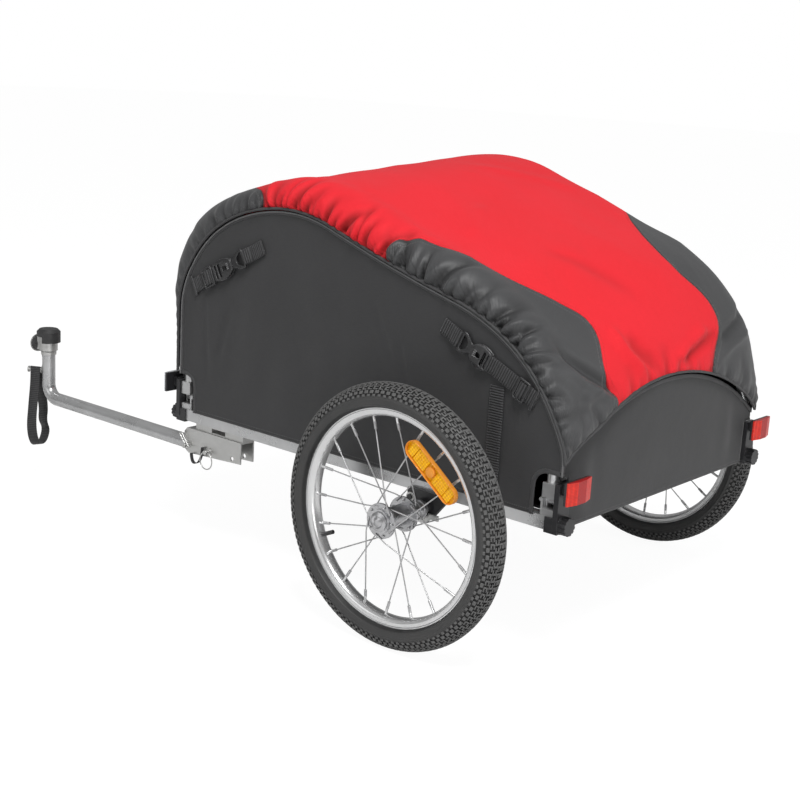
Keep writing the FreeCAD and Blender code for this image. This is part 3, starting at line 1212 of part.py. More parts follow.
def side_arch():
    """The bent hoop of each side, with a square socket and hinge tongue at each foot."""
    low = value(f"{HINGE_HEIGHT} + hinge_radius + socket_gap + rail_wall")
    stretches = list(arch_walk(0, low).values())
    side = value(RAIL_SIDE)
    spine = Part.Wire(edges_of(stretches, upright(side)))
    foot = Vector(stretches[0][1].x, side, stretches[0][1].y)
    skins = []
    for radius in (value("arch_tube / 2"), value("arch_tube / 2 - arch_wall")):
        ring = Part.Wire(Part.makeCircle(radius, foot, Vector(0, 0, 1)))
        skins.append(spine.makePipeShell([ring], True, True))
    hoop = drawn("arch_hoop", skins[0].cut(skins[1]))
    parts = []
    bottom = f"({HINGE_HEIGHT} + hinge_radius + socket_gap)"
    for name, reach, _ in corners():
        socket = box(f"socket_{name}", "socket_size", "socket_size", "socket_height",
                     f"{reach} - socket_size / 2", f"{RAIL_SIDE} - socket_size / 2", bottom)
        bore = cylinder(f"socket_bore_{name}", "arch_tube / 2 - arch_wall", "socket_height",
                        reach, RAIL_SIDE, f"{bottom} + rail_wall * 2")
        neck = box(f"neck_{name}", "tongue_width", "hinge_radius * 2",
                   f"{bottom} - {HINGE_HEIGHT}", f"{reach} - tongue_width / 2",
                   f"{HINGE_SIDE} - hinge_radius", HINGE_HEIGHT)
        eye = cylinder(f"tongue_{name}", "hinge_radius", "tongue_width",
                       f"{reach} - tongue_width / 2", HINGE_SIDE, HINGE_HEIGHT, "x")
        pin = cylinder(f"tongue_bore_{name}", "hinge_pin / 2 + running_clearance",
                       "tongue_width", f"{reach} - tongue_width / 2", HINGE_SIDE,
                       HINGE_HEIGHT, "x")
        parts.append(cut(f"foot_{name}", fuse(f"foot_{name}_body", socket, neck, eye), bore, pin))
    left_and_right("side_arch", fuse("arch", hoop, *parts))


# Fabric

def side_panel():
    """The taut side cloth: its top follows the hem, its bottom corners are cut away."""
    inset = value("hem_offset - panel_margin")
    low = value(f"{RAIL_TOP} - panel_lap")
    wide, high = value("cutout_width"), value(f"{RAIL_TOP} + cutout_height")
    bend = value("cutout_bend")
    curve = list(arch_walk(inset, high).values())
    front, rear = curve[0][1].x, curve[-1][2].x
    lift = upright(value(PANEL_FACE))
    edges = edges_of(curve, lift)

    def line(a, b):
        return Part.makeLine(lift(Vector(*a)), lift(Vector(*b)))

    def arc(a, b, c):
        return Part.Arc(*(lift(Vector(*p)) for p in (a, b, c))).toShape()
    for post, way in ((front, 1), (rear, -1)):
        inner = post - way * wide
        knee = (inner + way * bend * CUTOUT_KNEE_SHARE, high - bend * CUTOUT_KNEE_SHARE)
        edges.append(line((post, high), (inner + way * bend, high)))
        edges.append(arc((inner + way * bend, high), knee, (inner, high - bend)))
        edges.append(line((inner, high - bend), (inner, low)))
    edges.append(line((front - wide, low), (rear + wide, low)))
    cloth = Part.Face(Part.Wire(Part.__sortEdges__(edges)))
    left_and_right("side_panel", drawn("side_cloth", cloth.extrude(Vector(0, value("fabric"), 0))))


def end_arch_height(side, lower=0):
    """The height of the arched top edge of an end panel at a place across the trailer."""
    radius = value("end_arch_radius")
    centre = value("end_arch_height") - radius
    return centre + math.sqrt((radius - lower) ** 2 - side ** 2)


def end_panels():
    """Front and rear cloths, arched on top and drawn in beside the bumpers."""
    half, foot = value("end_panel_width / 2"), value("end_panel_foot")
    wing = value(f"{RAIL_SIDE} + rail_size / 4")
    ledge = value("rail_height + rail_size / 2 + bumper_height + panel_lap")
    margin = value("hem_diameter / 2 + piece_gap")
    for label, reach in (("front_panel", value("front_reach + end_panel_gap")),
                         ("rear_panel", value("-rear_reach - end_panel_gap - fabric"))):
        top = end_arch_height(wing, margin)
        corners_yz = [(wing, top), (wing, ledge), (half, ledge), (half, foot), (-half, foot),
                      (-half, ledge), (-wing, ledge), (-wing, top)]
        points = [Vector(reach, y, z) for y, z in corners_yz]
        edges = [Part.makeLine(a, b) for a, b in zip(points, points[1:]) if a != b]
        crown = Vector(reach, 0, end_arch_height(0, margin))
        edges.append(Part.Arc(points[-1], crown, points[0]).toShape())
        cloth = Part.Face(Part.Wire(Part.__sortEdges__(edges)))
        node(label, drawn(label, cloth.extrude(Vector(value("fabric"), 0, 0))))


def cover_section(point, normal, share):
    """One cross-section of the cover: shoulders and crown outside, the same inside."""
    half, thick = value("cover_half_width"), value("cover_fabric")
    inset = value("cover_shoulder")
    left, right = (value(f"cover_rise_{side}") * share for side in ("left", "right"))
    crown = (left + right) / 2 + value("cover_crown") * share

    def spot(side, rise):
        return Vector(point.x + normal.x * rise, side, point.y + normal.y * rise)

    def skin(gap):
        edge = half - gap
        bulge_in, bulge_up = inset * SHOULDER_IN_SHARE, SHOULDER_RISE_SHARE
        stops = [(edge, 0), (edge - bulge_in, left * bulge_up - gap / 2),
                 (half - inset, left - gap), (0, crown - gap), (inset - half, right - gap),
                 (bulge_in - edge, right * bulge_up - gap / 2), (-edge, 0)]
        return [spot(*stop) for stop in stops]
    outer, inner = skin(0), skin(thick)
    edges = []
    for pts in (outer, inner):
        edges += [Part.Arc(*pts[i:i + 3]).toShape() for i in (0, 2, 4)]
    edges.append(Part.makeLine(outer[0], inner[0]))
    edges.append(Part.makeLine(outer[-1], inner[-1]))
    return Part.Wire(Part.__sortEdges__(edges))


def cover_low():
    """The height of the cover's lowest corners, a little under the end arches."""
    return end_arch_height(value("cover_half_width")) - value("cover_drop")


def cover_sections():
    path = arch_walk(value("hem_offset"), cover_low())
    sections = []
    for name, stations in COVER_RISE_SHARES.items():
        kind, start, end, middle, heading = path[name]
        for along, share in stations:
            if kind == "run":
                point = start + (end - start) * along
                course = heading
            else:
                begin = heading - turn_of(name)
                course = begin + turn_of(name) * along
                radius = arch_steps(value("hem_offset"))[name][1]
                centre = start + Vector(-math.sin(begin), math.cos(begin)) * radius
                point = centre + Vector(math.sin(course), -math.cos(course)) * radius
            normal = Vector(math.sin(course), -math.cos(course))
            sections.append(cover_section(point, normal, share))
    return sections


def turn_of(name):
    return math.radians(arch_steps(0)[name][2])


def end_opening():
    """What the arched front and rear openings take out of the cover."""
    half = value("cover_half_width + overrun")
    low = cover_low() - value("overrun")
    back = value("-rear_reach * 2")
    front = value("front_reach") * OPENING_FAR_SHARE
    depth = value("rear_reach") * OPENING_DEPTH_SHARE
    cuts = []
    for reach in (back, front - depth):
        ends = [Vector(reach, side, end_arch_height(half)) for side in (half, -half)]
        top = Vector(reach, 0, end_arch_height(0))
        low_ends = [Vector(reach, side, low) for side in (-half, half)]
        edges = [Part.Arc(ends[0], top, ends[1]).toShape(), Part.makeLine(ends[1], low_ends[0]),
                 Part.makeLine(low_ends[0], low_ends[1]), Part.makeLine(low_ends[1], ends[0])]
        cuts.append(Part.Face(Part.Wire(edges)).extrude(Vector(value("rear_reach") + depth, 0, 0)))
    return cuts


def seam_prism():
    """The upright block whose walls are the seams between red and grey cloth."""
    half = value("cover_half_width")
    reach = {1: value("front_reach"), -1: value("rear_reach")}
    points = []
    for side, width in ((1, SEAM_LEFT_SHARE), (-1, SEAM_RIGHT_SHARE)):
        run = [(x, y) for x, y in reversed(REAR_SEAM_SHARES)] + list(FRONT_SEAM_SHARES)
        row = []
        for x, y in run:
            inner = y * width if y < 1 else y
            row.append(Vector(x * reach[1 if x > 0 else -1], side * half * inner, 0))
        points += row if side > 0 else list(reversed(row))
    face = Part.Face(Part.makePolygon(points + points[:1]))
    return face.extrude(Vector(0, 0, value("wheel_diameter * 3")))


def cord(spine, radius):
    """A round cord along a wire."""
    first = spine.Edges[0]
    start = spine.OrderedVertexes[0].Point
    ring = Part.Wire(Part.makeCircle(radius, start, first.tangentAt(first.FirstParameter)))
    return spine.makePipeShell([ring], True, True)


def side_hem(radius):
    path = list(arch_walk(value("hem_offset"), cover_low()).values())
    return cord(Part.Wire(edges_of(path, upright(value(f"{PANEL_FACE} + hem_side")))), radius)


def hem_reach(shell, side, way):
    """How far along the trailer the whole cover's skin lies at the end arch's height."""
    height = end_arch_height(side)
    far = value("front_reach * 2") * way
    line = Part.makeLine(Vector(0, side, height), Vector(far, side, height))
    return max((v.X for v in shell.common(line).Vertexes), key=abs)


def end_hem(shell, way, radius):
    half = value(f"{PANEL_FACE} + hem_side - hem_diameter - piece_gap")
    spots = []
    for side in (half, 0, -half):
        inward = way * value("cover_fabric / 2")
        spots.append(Vector(hem_reach(shell, side, way) - inward, side, end_arch_height(side)))
    return cord(Part.Wire(Part.Arc(*spots).toShape()), radius)


def cover():
    """The rain cover: a lofted shell parted along its seams, with an elastic hem all round."""
    whole = Part.makeLoft(cover_sections(), True, False)
    radius, gap = value("hem_diameter / 2"), value("piece_gap")
    shell = whole
    for tool in end_opening():
        shell = shell.cut(tool)
    side = side_hem(radius + gap)
    shell = shell.cut([side, side.mirror(Vector(), Vector(0, 1, 0)),
                       end_hem(whole, 1, radius + gap), end_hem(whole, -1, radius + gap)])
    prism = seam_prism()
    node("cover_centre", drawn("cover_centre", shell.common(prism)))
    node("cover_corners", drawn("cover_corners", shell.cut(prism)))
    left = drawn("hem_left", side_hem(radius))
    ends = [drawn("hem_end", end_hem(whole, way, radius)) for way in (1, -1)]
    node("cover_hem", group("hem", left, mirrored("hem_right", left), *ends))


def buckle_straps():
    """On each side panel: two webbing straps with side-release buckles, and a sewn band."""
    face, pieces = value(STRAP_FACE), []
    wide, thin = value("webbing_width"), value("webbing_thickness")

    def laid(start, length, width, depth, lift, origin, slope, way):
        """A block along a strap's line, from its place along the line."""
        block = Part.makeBox(length, depth, width, Vector(start, lift, -width / 2))
        block.rotate(Vector(), Vector(0, 1, 0), slope if way > 0 else 180 - slope)
        block.translate(Vector(way * origin[0], 0, origin[1]))
        return block
    for end, way in (("front", 1), ("rear", -1)):
        origin = (value(f"{end}_reach - {end}_strap_inset"), value(f"leg_top + {end}_strap_rise"))
        slope = value(f"{end}_strap_slope")
        first = value(f"{end}_buckle_start")
        last = value(f"{end}_strap_length")
        place_args = (origin, slope, way)
        buckle, glide = value("buckle_length"), value("glide_length")
        anchor = value("anchor_length")
        pieces.append(laid(-anchor / 2, anchor / 2 + first, wide, thin, face, *place_args))
        body = laid(first, buckle, value("buckle_width"), value("buckle_depth"), face, *place_args)
        pieces.append(rounded_solid(body, value("buckle_depth") * MOULDED_ROUND_SHARE))
        pieces.append(laid(first + buckle, last - first - buckle, wide, thin, face, *place_args))
        ladder = laid(last - glide * GLIDE_BACK_SHARE, glide, value("glide_width"), value("glide_depth"),
                      face + thin, *place_args)
        pieces.append(rounded_solid(ladder, value("glide_depth") * MOULDED_ROUND_SHARE))
    foot = value(RAIL_TOP)
    post = Part.makeBox(wide, thin, value("leg_top - post_webbing_drop") - foot,
                        Vector(value("post_webbing_inset - rear_reach") - wide / 2, face, foot))
    pieces.append(post)
    left_and_right("buckle_straps", drawn("straps", Part.makeCompound(pieces)))


def rounded_solid(solid, radius):
    return solid.makeFillet(radius, solid.Edges)


BUILDERS = (tyre, rim, inner_tube, hub_shell, spokes, bearings, spoke_reflector, stub_axle,
            axle_receivers, receiver_covers, release_lever, side_rails, cross_tubes,
            floor_board, frame_bolts, hinge_bases, hinge_pins, corner_bumpers, reflectors,
            tow_bracket, bracket_spacer, tow_bar, ring_pin, pin_lanyard, lock_pin,
            hairpin_clip, hitch_collar, hitch_head, hitch_cap, coupling, strap_pin,
            safety_strap, pin_wire, side_arch, side_panel, end_panels, cover, buckle_straps)


def check_document():
    """Stops with the names of the objects that failed or have a bad shape."""
    failed = [o.Name for o in doc.Objects if {"Invalid", "Error"} & set(o.State)]
    for label, piece in NODES.items():
        if piece.Shape.isNull() or not piece.Shape.isValid() or not piece.Shape.Solids:
            failed.append(label)
    if failed:
        raise RuntimeError("not built: " + ", ".join(failed))


def export():
    os.makedirs("parts", exist_ok=True)
    for label, piece in NODES.items():
        piece.Shape.exportStep(os.path.join("parts", label + ".step"))
        print(f"{label}: {len(piece.Shape.Solids)} solids, {piece.Shape.Volume / 1000:.1f} cm3")


for build in BUILDERS:
    build()
doc.recompute()
check_document()
export()
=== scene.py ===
import cmath
import json
import math
import random

import bpy
import numpy as np
from mathutils import Matrix, Vector


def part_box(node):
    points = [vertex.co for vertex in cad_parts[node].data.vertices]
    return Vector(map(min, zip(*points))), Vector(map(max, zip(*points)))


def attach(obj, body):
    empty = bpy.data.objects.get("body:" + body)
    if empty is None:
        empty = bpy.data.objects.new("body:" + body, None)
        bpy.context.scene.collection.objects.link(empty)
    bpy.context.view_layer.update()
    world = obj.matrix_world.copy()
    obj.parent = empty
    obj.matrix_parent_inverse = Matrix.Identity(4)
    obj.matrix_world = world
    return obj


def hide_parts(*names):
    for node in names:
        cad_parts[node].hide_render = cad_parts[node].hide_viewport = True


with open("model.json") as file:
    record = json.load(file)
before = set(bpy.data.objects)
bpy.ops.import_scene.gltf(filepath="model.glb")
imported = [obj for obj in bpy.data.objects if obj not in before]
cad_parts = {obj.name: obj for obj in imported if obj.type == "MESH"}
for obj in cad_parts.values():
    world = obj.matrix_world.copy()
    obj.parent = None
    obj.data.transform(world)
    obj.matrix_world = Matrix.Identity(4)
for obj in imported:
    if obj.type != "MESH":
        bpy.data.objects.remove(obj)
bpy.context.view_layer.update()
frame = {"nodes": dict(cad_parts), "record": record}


def middle_of(node):
    """The centre of a CAD node's box."""
    return [(low + high) / 2 for low, high in zip(*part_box(node))]


AXLE_X, WHEEL_Y, AXLE_Z = middle_of("tyre_left")
HUB = Matrix.Translation((AXLE_X, WHEEL_Y, AXLE_Z))
# How sharply a webbing's ribs stand up
RIB_SHARPNESS = 2.5


# Small tools

def choose(*objects):
    """Selects these objects alone and makes the first one active."""
    bpy.ops.object.select_all(action="DESELECT")
    for obj in objects:
        obj.select_set(True)
    bpy.context.view_layer.objects.active = objects[0]


def add(name, data):
    """A new object in the scene."""
    obj = bpy.data.objects.new(name, data)
    bpy.context.scene.collection.objects.link(obj)
    return obj


def standing(x, y, z, origin):
    """The matrix that has these axes and this origin."""
    matrix = Matrix((x, y, z)).transposed().to_4x4()
    matrix.translation = Vector(origin)
    return matrix


def finish_with(obj, kind, **settings):
    """Adds a modifier and applies it."""
    choose(obj)
    modifier = obj.modifiers.new(kind.title(), kind)
    for name, setting in settings.items():
        setattr(modifier, name, setting)
    bpy.ops.object.modifier_apply(modifier=modifier.name)
    return obj


def join(name, objects):
    choose(*objects)
    if len(objects) > 1:
        bpy.ops.object.join()
    objects[0].name = objects[0].data.name = name
    return objects[0]


def smooth(obj, degrees=40):
    choose(obj)
    bpy.ops.object.shade_smooth_by_angle(angle=math.radians(degrees))
    return obj


def outward(obj, gap=1e-6, first=()):
    """Merges doubles and turns every face outwards, after any mesh tools that are to run first."""
    choose(obj)
    bpy.ops.object.mode_set(mode="EDIT")
    for tool, settings in (*first, ("remove_doubles", {"threshold": gap}),
                           ("normals_make_consistent", {"inside": False})):
        bpy.ops.mesh.select_all(action="SELECT")
        getattr(bpy.ops.mesh, tool)(**settings)
    bpy.ops.object.mode_set(mode="OBJECT")
    return obj


def twin(obj, name):
    """The right-hand copy of a left-hand piece, with its own mesh."""
    copy = obj.copy()
    copy.data = obj.data.copy()
    copy.name = copy.data.name = name
    bpy.context.scene.collection.objects.link(copy)
    copy.data.transform(Matrix.Diagonal((1, -1, 1, 1)))
    copy.data.flip_normals()
    return copy


def dress(obj, finish):
    obj.data.materials.clear()
    obj.data.materials.append(FINISHES[finish])


def belong(obj, finish, slot, body, node=None):
    """Gives a piece its finish and its body, and hides the CAD node that it stands for; slot is not
    used.
    """
    dress(obj, finish)
    if node:
        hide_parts(node)
    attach(obj, body)


def pair(obj, finish, slot, body, node=None):
    """A left-hand piece and its right-hand twin, each with its own side's body and node."""
    for side in ("left", "right"):
        piece = obj if side == "left" else twin(obj, obj.name.replace("left", "right"))
        belong(piece, finish, slot, body + side, node and node + side)


def sewn(name, points, faces, uv, values=None):
    """A piece of cloth from its points and faces, with its flat pattern as a UV map."""
    mesh = bpy.data.meshes.new(name)
    mesh.from_pydata(np.asarray(points, float).tolist(), [], faces)
    for label, numbers in (values or {}).items():
        layer = mesh.attributes.new(label, "FLOAT", "POINT")
        layer.data.foreach_set("value", np.asarray(numbers, np.float32).ravel())
    corners = np.zeros(len(mesh.loops), np.int32)
    mesh.loops.foreach_get("vertex_index", corners)
    layer = mesh.uv_layers.new(name="cloth")
    layer.data.foreach_set("uv", np.asarray(uv, np.float32)[corners].ravel())
    obj = add(name, mesh)
    mesh.shade_smooth()
    return obj


def grid_faces(rows, columns):
    starts = (row * columns + column for row in range(rows - 1) for column in range(columns - 1))
    return [(a, a + 1, a + columns + 1, a + columns) for a in starts]


def tube(name, rings, run, around, values=None):
    """A skin over rings of points, closed at both ends.

    run and around are the two directions of its flat pattern."""
    count, corners = rings.shape[:2]
    faces = [(near + c, near + d, near + corners + d, near + corners + c)
             for near in range(0, (count - 1) * corners, corners)
             for c, d in zip(range(corners), (*range(1, corners), 0))]
    faces += [tuple(range(corners))[::-1], tuple(range((count - 1) * corners, count * corners))]
    uv = np.stack(np.broadcast_arrays(run[:, None], around), -1).reshape(-1, 2)
    return outward(sewn(name, rings.reshape(-1, 3), faces, uv, values))


def soft_noise(u, v, size, seed, waves=9):
    """A smooth random height, about -1 to 1, that changes over the given size."""
    draw = random.Random(seed)
    total = np.zeros_like(u)
    for _ in range(waves):
        turn, phase = draw.uniform(0, math.tau), draw.uniform(0, math.tau)
        pitch = size * draw.uniform(0.7, 1.6)
        total += np.sin((u * math.cos(turn) + v * math.sin(turn)) * math.tau / pitch + phase)
    return total / (1.5 * waves ** 0.5)


def lengths_along(line):
    steps = np.linalg.norm(np.diff(line, axis=0), axis=1)
    return np.concatenate([[0], np.cumsum(steps)])


def evenly(line, step=None, count=None):
    """The same line with evenly spaced points."""
    line = np.asarray(line, float)
    run = lengths_along(line)
    count = count or max(2, round(run[-1] / step) + 1)
    wanted = np.linspace(0, run[-1], count)
    return np.stack([np.interp(wanted, run, line[:, i]) for i in range(line.shape[1])], 1)


def softened(line, passes, closed=False):
    """The line with its corners eased."""
    line = np.array(line, float)
    for _ in range(passes):
        if closed:
            line = (np.roll(line, 1, 0) + 2 * line + np.roll(line, -1, 0)) / 4
        else:
            line[1:-1] = (line[:-2] + 2 * line[1:-1] + line[2:]) / 4
    return line


def swept(name, line, side, up, profile, ribs):
    """A webbing's profile of (across, up) points along a line; ribs is their height and pitch."""
    profile = np.asarray(profile, float)
    run = lengths_along(line)
    rib = np.tanh(RIB_SHARPNESS * np.sin(run * math.tau / ribs[1]))
    lift = 1 + ribs[0] * rib
    rings = (line[:, None] + side[:, None] * profile[:, :1]
             + up[:, None] * (profile[:, 1:] * lift[:, None, None]))
    around = lengths_along(np.vstack([profile, profile[:1]]))[:-1]
    return tube(name, rings, run, around, {"rib": np.repeat(rib, len(profile))})


def unit(vectors):
    vectors = np.asarray(vectors, float)
    return vectors / np.maximum(np.linalg.norm(vectors, axis=-1, keepdims=True), 1e-12)


def headings(line):
    return unit(np.gradient(line, axis=0))


def flat_shape(name, outlines, depth, rounding, matrix):
    """A plate with rounded edges from closed outlines, the later ones being its holes."""
    drawing = bpy.data.curves.new(name, "CURVE")
    drawing.dimensions = "2D"
    drawing.fill_mode = "BOTH"
    drawing.extrude = depth / 2 - rounding
    drawing.bevel_depth = rounding
    drawing.bevel_resolution = 2
    drawing.offset = -rounding
    for outline in outlines:
        spline = drawing.splines.new("POLY")
        spline.points.add(len(outline) - 1)
        for point, (x, y) in zip(spline.points, outline):
            point.co = (x, y, 0, 1)
        spline.use_cyclic_u = True
    choose(add(name, drawing))
    bpy.ops.object.convert(target="MESH")
    obj = bpy.context.object
    obj.data.transform(matrix)
    return smooth(outward(obj), 35)


def rounded_box(x0, y0, x1, y1, corner, steps=4):
    """A rounded rectangle's outline."""
    points = []
    for x, y, start in ((x1 - corner, y0 + corner, -90), (x1 - corner, y1 - corner, 0),
                        (x0 + corner, y1 - corner, 90), (x0 + corner, y0 + corner, 180)):
        for step in range(steps + 1):
            angle = math.radians(start + 90 * step / steps)
            points.append((x + corner * math.cos(angle), y + corner * math.sin(angle)))
    return points


# Camera, lights and floor

VIEW_AZIMUTH = 219.7609
VIEW_ELEVATION = 13.4226
VIEW_ROLL = 3.3193
EYE = Vector((-1.20436, 1.81645, 0.82501))
FOCAL_PIXELS = 1357.466
PHOTO_WIDTH = 800
SENSOR = 36


def photographed_view():
    azimuth, elevation, roll = map(math.radians, (VIEW_AZIMUTH, VIEW_ELEVATION, VIEW_ROLL))
    back = Vector((math.sin(azimuth) * math.cos(elevation),
                   -math.cos(azimuth) * math.cos(elevation), math.sin(elevation)))
    right = (-back).cross(Vector((0, 0, 1))).normalized()
    up = right.cross(-back)
    lens = bpy.data.cameras.new("view")
    lens.sensor_width = SENSOR
    lens.lens = FOCAL_PIXELS / PHOTO_WIDTH * SENSOR
    lens.clip_start, lens.clip_end = 0.05, 60
    camera = add("view", lens)
    camera.matrix_world = standing(right * math.cos(roll) + up * math.sin(roll),
                                   up * math.cos(roll) - right * math.sin(roll), back,
                                   EYE + Vector((AXLE_X, 0, 0)))
    bpy.context.scene.camera = camera


def lamp(name, place, aim, size, power):
    light = bpy.data.lights.new(name, "AREA")
    light.size = size
    light.energy = power
    obj = add(name, light)
    obj.location = place
    obj.rotation_euler = (Vector(place) - Vector(aim)).to_track_quat("Z", "Y").to_euler()


WORLD_TOP, WORLD_SIDE = 0.40, 0.24
FLOOR_SIZE, FLOOR_GLOW = 60, 0.86


def studio():
    """Soft lamps and a sky that is bright overhead and dim at the sides; the eye sees white."""
    lamp("key", (-1.6, 1.5, 3.4), (0, 0, 0.3), 1.1, 98)
    lamp("fill", (0.8, 3.4, 1.5), (0, 0, 0.3), 2.2, 14)
    lamp("rear", (-3.2, -1.2, 1.6), (0, 0, 0.4), 1.8, 22)
    lamp("low", (-1.9, 1.5, 0.3), (0, -0.35, 0.2), 0.7, 5)
    world = bpy.data.worlds.new("studio")
    bpy.context.scene.world = world
    world.use_nodes = True
    tree = world.node_tree
    tree.nodes.clear()
    path = tree.nodes.new("ShaderNodeLightPath")
    seen = calc(tree, "MAXIMUM", path.outputs["Is Camera Ray"],
                path.outputs["Is Transmission Ray"])
    way = put(tree, "SeparateXYZ", Vector=put(tree, "TexCoord").outputs["Generated"])
    sky = ramp(tree, way.outputs["Z"], -0.05, 0.55, WORLD_SIDE, WORLD_TOP)
    strength = calc(tree, "MAXIMUM", sky, seen)
    glow = put(tree, "Background", Color=grey(1.0), Strength=strength)
    out = put(tree, "OutputWorld")
    tree.links.new(glow.outputs[0], out.inputs["Surface"])
    bpy.context.scene.view_settings.view_transform = "Standard"


def floor():
    """A pale sheet that glows for the camera alone, so that it is white with soft shadows."""
    bpy.ops.mesh.primitive_plane_add(size=FLOOR_SIZE)
    sheet = bpy.context.object
    sheet.name = "studio_floor"
    material, tree, out = blank("studio_floor")
    path = tree.nodes.new("ShaderNodeLightPath")
    pale = put(tree, "BsdfDiffuse", Color=grey(0.82))
    glow = put(tree, "Emission", Color=grey(1.0), Strength=1.1)
    share = times(tree, path.outputs["Is Camera Ray"], FLOOR_GLOW)
    mix = put(tree, "MixShader", Fac=share)
    for shader, socket in ((pale, mix.inputs[1]), (glow, mix.inputs[2]),
                           (mix, out.inputs["Surface"])):
        tree.links.new(shader.outputs[0], socket)
    sheet.data.materials.append(material)


# Node tools for the finishes

def put(tree, kind, settings=None, **inputs):
    """Adds a node; each input is a number, a colour or another node's output."""
    node = tree.nodes.new("ShaderNode" + kind)
    for name, setting in (settings or {}).items():
        setattr(node, name, setting)
    for name, given in inputs.items():
        wire(tree, node.inputs[name.replace("_", " ")], given)
    return node


def wire(tree, socket, given):
    if isinstance(given, bpy.types.NodeSocket):
        tree.links.new(given, socket)
    else:
        socket.default_value = given


def calc(tree, operation, *numbers, clamp=False):
    node = tree.nodes.new("ShaderNodeMath")
    node.operation = operation
    node.use_clamp = clamp
    for socket, given in zip(node.inputs, numbers):
        wire(tree, socket, given)
    return node.outputs[0]


def times(tree, a, b, clamp=False):
    return calc(tree, "MULTIPLY", a, b, clamp=clamp)


def tint(tree, factor, a, b):
    """Mixes two colours."""
    node = tree.nodes.new("ShaderNodeMix")
    node.data_type = "RGBA"
    for number, given in ((0, factor), (6, a), (7, b)):
        wire(tree, node.inputs[number], given)
    return node.outputs[2]


def over(tree, mask, share, under, top):
    """Lays one colour over another, at most by a share, where a mask says."""
    return tint(tree, times(tree, mask, share), under, top)


def ramp(tree, given, low, high, to_low=0.0, to_high=1.0):
    node = put(tree, "MapRange", From_Min=low, From_Max=high, To_Min=to_low, To_Max=to_high,
               Value=given)
    return node.outputs["Result"]


def noise(tree, place, scale, detail=3.0, roughness=0.5):
    node = put(tree, "TexNoise", Scale=scale, Detail=detail, Roughness=roughness, Vector=place)
    return node.outputs["Fac"]


def blank(name):
    material = bpy.data.materials.new(name)
    material.use_nodes = True
    tree = material.node_tree
    tree.nodes.clear()
    return material, tree, put(tree, "OutputMaterial")


def started(name, patch):
    """A blank material with its object's own coordinates and its cloudy patches."""
    material, tree, out = blank(name)
    place = put(tree, "TexCoord").outputs["Object"]
    return material, tree, out, place, effect(tree, "patches", Vector=place, Size=patch)


def attribute(tree, name):
    return put(tree, "Attribute", {"attribute_name": name}).outputs["Fac"]


def cloth_map(tree):
    return put(tree, "UVMap", {"uv_map": "cloth"}).outputs[0]


def new_group(name, inputs, outputs):
    """An effect's node group: inputs and outputs are (name, kind, start value)."""
    group = bpy.data.node_groups.new(name, "ShaderNodeTree")
    for way, sockets in (("INPUT", inputs), ("OUTPUT", outputs)):
        for label, kind, start in sockets:
            socket = group.interface.new_socket(label, in_out=way, socket_type="NodeSocket" + kind)
            if start is not None:
                socket.default_value = start
    return (group, group.nodes.new("NodeGroupInput").outputs,
            group.nodes.new("NodeGroupOutput").inputs)


def weave_group():
    """Over-and-under threads of a plain weave."""
    group, given, out = new_group(
        "Plain weave", [("Vector", "Vector", None), ("Threads", "Float", 900.0)],
        [("Height", "Float", None), ("Streak", "Float", None)])
    axes = put(group, "SeparateXYZ", Vector=given["Vector"])
    across, along = (calc(group, "SINE", times(group, axes.outputs[axis], given["Threads"]))
                     for axis in "XY")
    height = calc(group, "MULTIPLY_ADD", across, along, 1.0)
    wire(group, out["Height"], times(group, height, 0.5))
    slip = put(group, "Mapping", Vector=given["Vector"], Scale=(70.0, 900.0, 1.0))
    wire(group, out["Streak"], noise(group, slip.outputs[0], 1.0, 4.0, 0.65))
    return group


def grime_group():
    """Cloudy patches, for dust, fading and uneven gloss."""
    group, given, out = new_group(
        "Cloudy patches", [("Vector", "Vector", None), ("Size", "Float", 8.0)],
        [("Cloud", "Float", None), ("Speck", "Float", None)])
    cloud = noise(group, given["Vector"], given["Size"], 5.0, 0.6)
    wire(group, out["Cloud"], ramp(group, cloud, 0.32, 0.7))
    speck = noise(group, given["Vector"], times(group, given["Size"], 46.0), 2.0)
    wire(group, out["Speck"], ramp(group, speck, 0.6, 0.72))
    return group


def edge_group():
    """Softly rounded edges, and a mask of where they are."""
    group, given, out = new_group("Softened edges", [("Radius", "Float", 0.0006)],
                                  [("Normal", "Vector", None), ("Edge", "Float", None)])
    bevel = put(group, "Bevel", {"samples": 4}, Radius=given["Radius"]).outputs[0]
    dot = put(group, "VectorMath", {"operation": "DOT_PRODUCT"})
    plain = put(group, "NewGeometry").outputs["Normal"]
    for socket, normal in zip(dot.inputs, (bevel, plain)):
        wire(group, socket, normal)
    wire(group, out["Normal"], bevel)
    wire(group, out["Edge"], ramp(group, dot.outputs["Value"], 0.995, 0.9))
    return group


EFFECTS = {}


def effect(tree, name, **inputs):
    node = tree.nodes.new("ShaderNodeGroup")
    node.node_tree = EFFECTS[name]
    for label, given in inputs.items():
        wire(tree, node.inputs[label], given)
    return node.outputs


def surface(tree, out, **inputs):
    tree.links.new(put(tree, "BsdfPrincipled", **inputs).outputs[0], out.inputs["Surface"])


def bump(tree, height, distance, normal=None):
    node = put(tree, "Bump", Height=height, Distance=distance)
    if normal is not None:
        wire(tree, node.inputs["Normal"], normal)
    return node.outputs[0]


def rgb(r, g, b):
    return (r, g, b, 1.0)


def grey(level):
    return rgb(level, level, level)


# Finishes

METAL_GRAIN, MOULD_GRAIN, MOULD_DEPTH = 900.0, 1400.0, 0.00008
STITCH_AWAY, STITCHES_PER_METRE = 0.006, 260.0


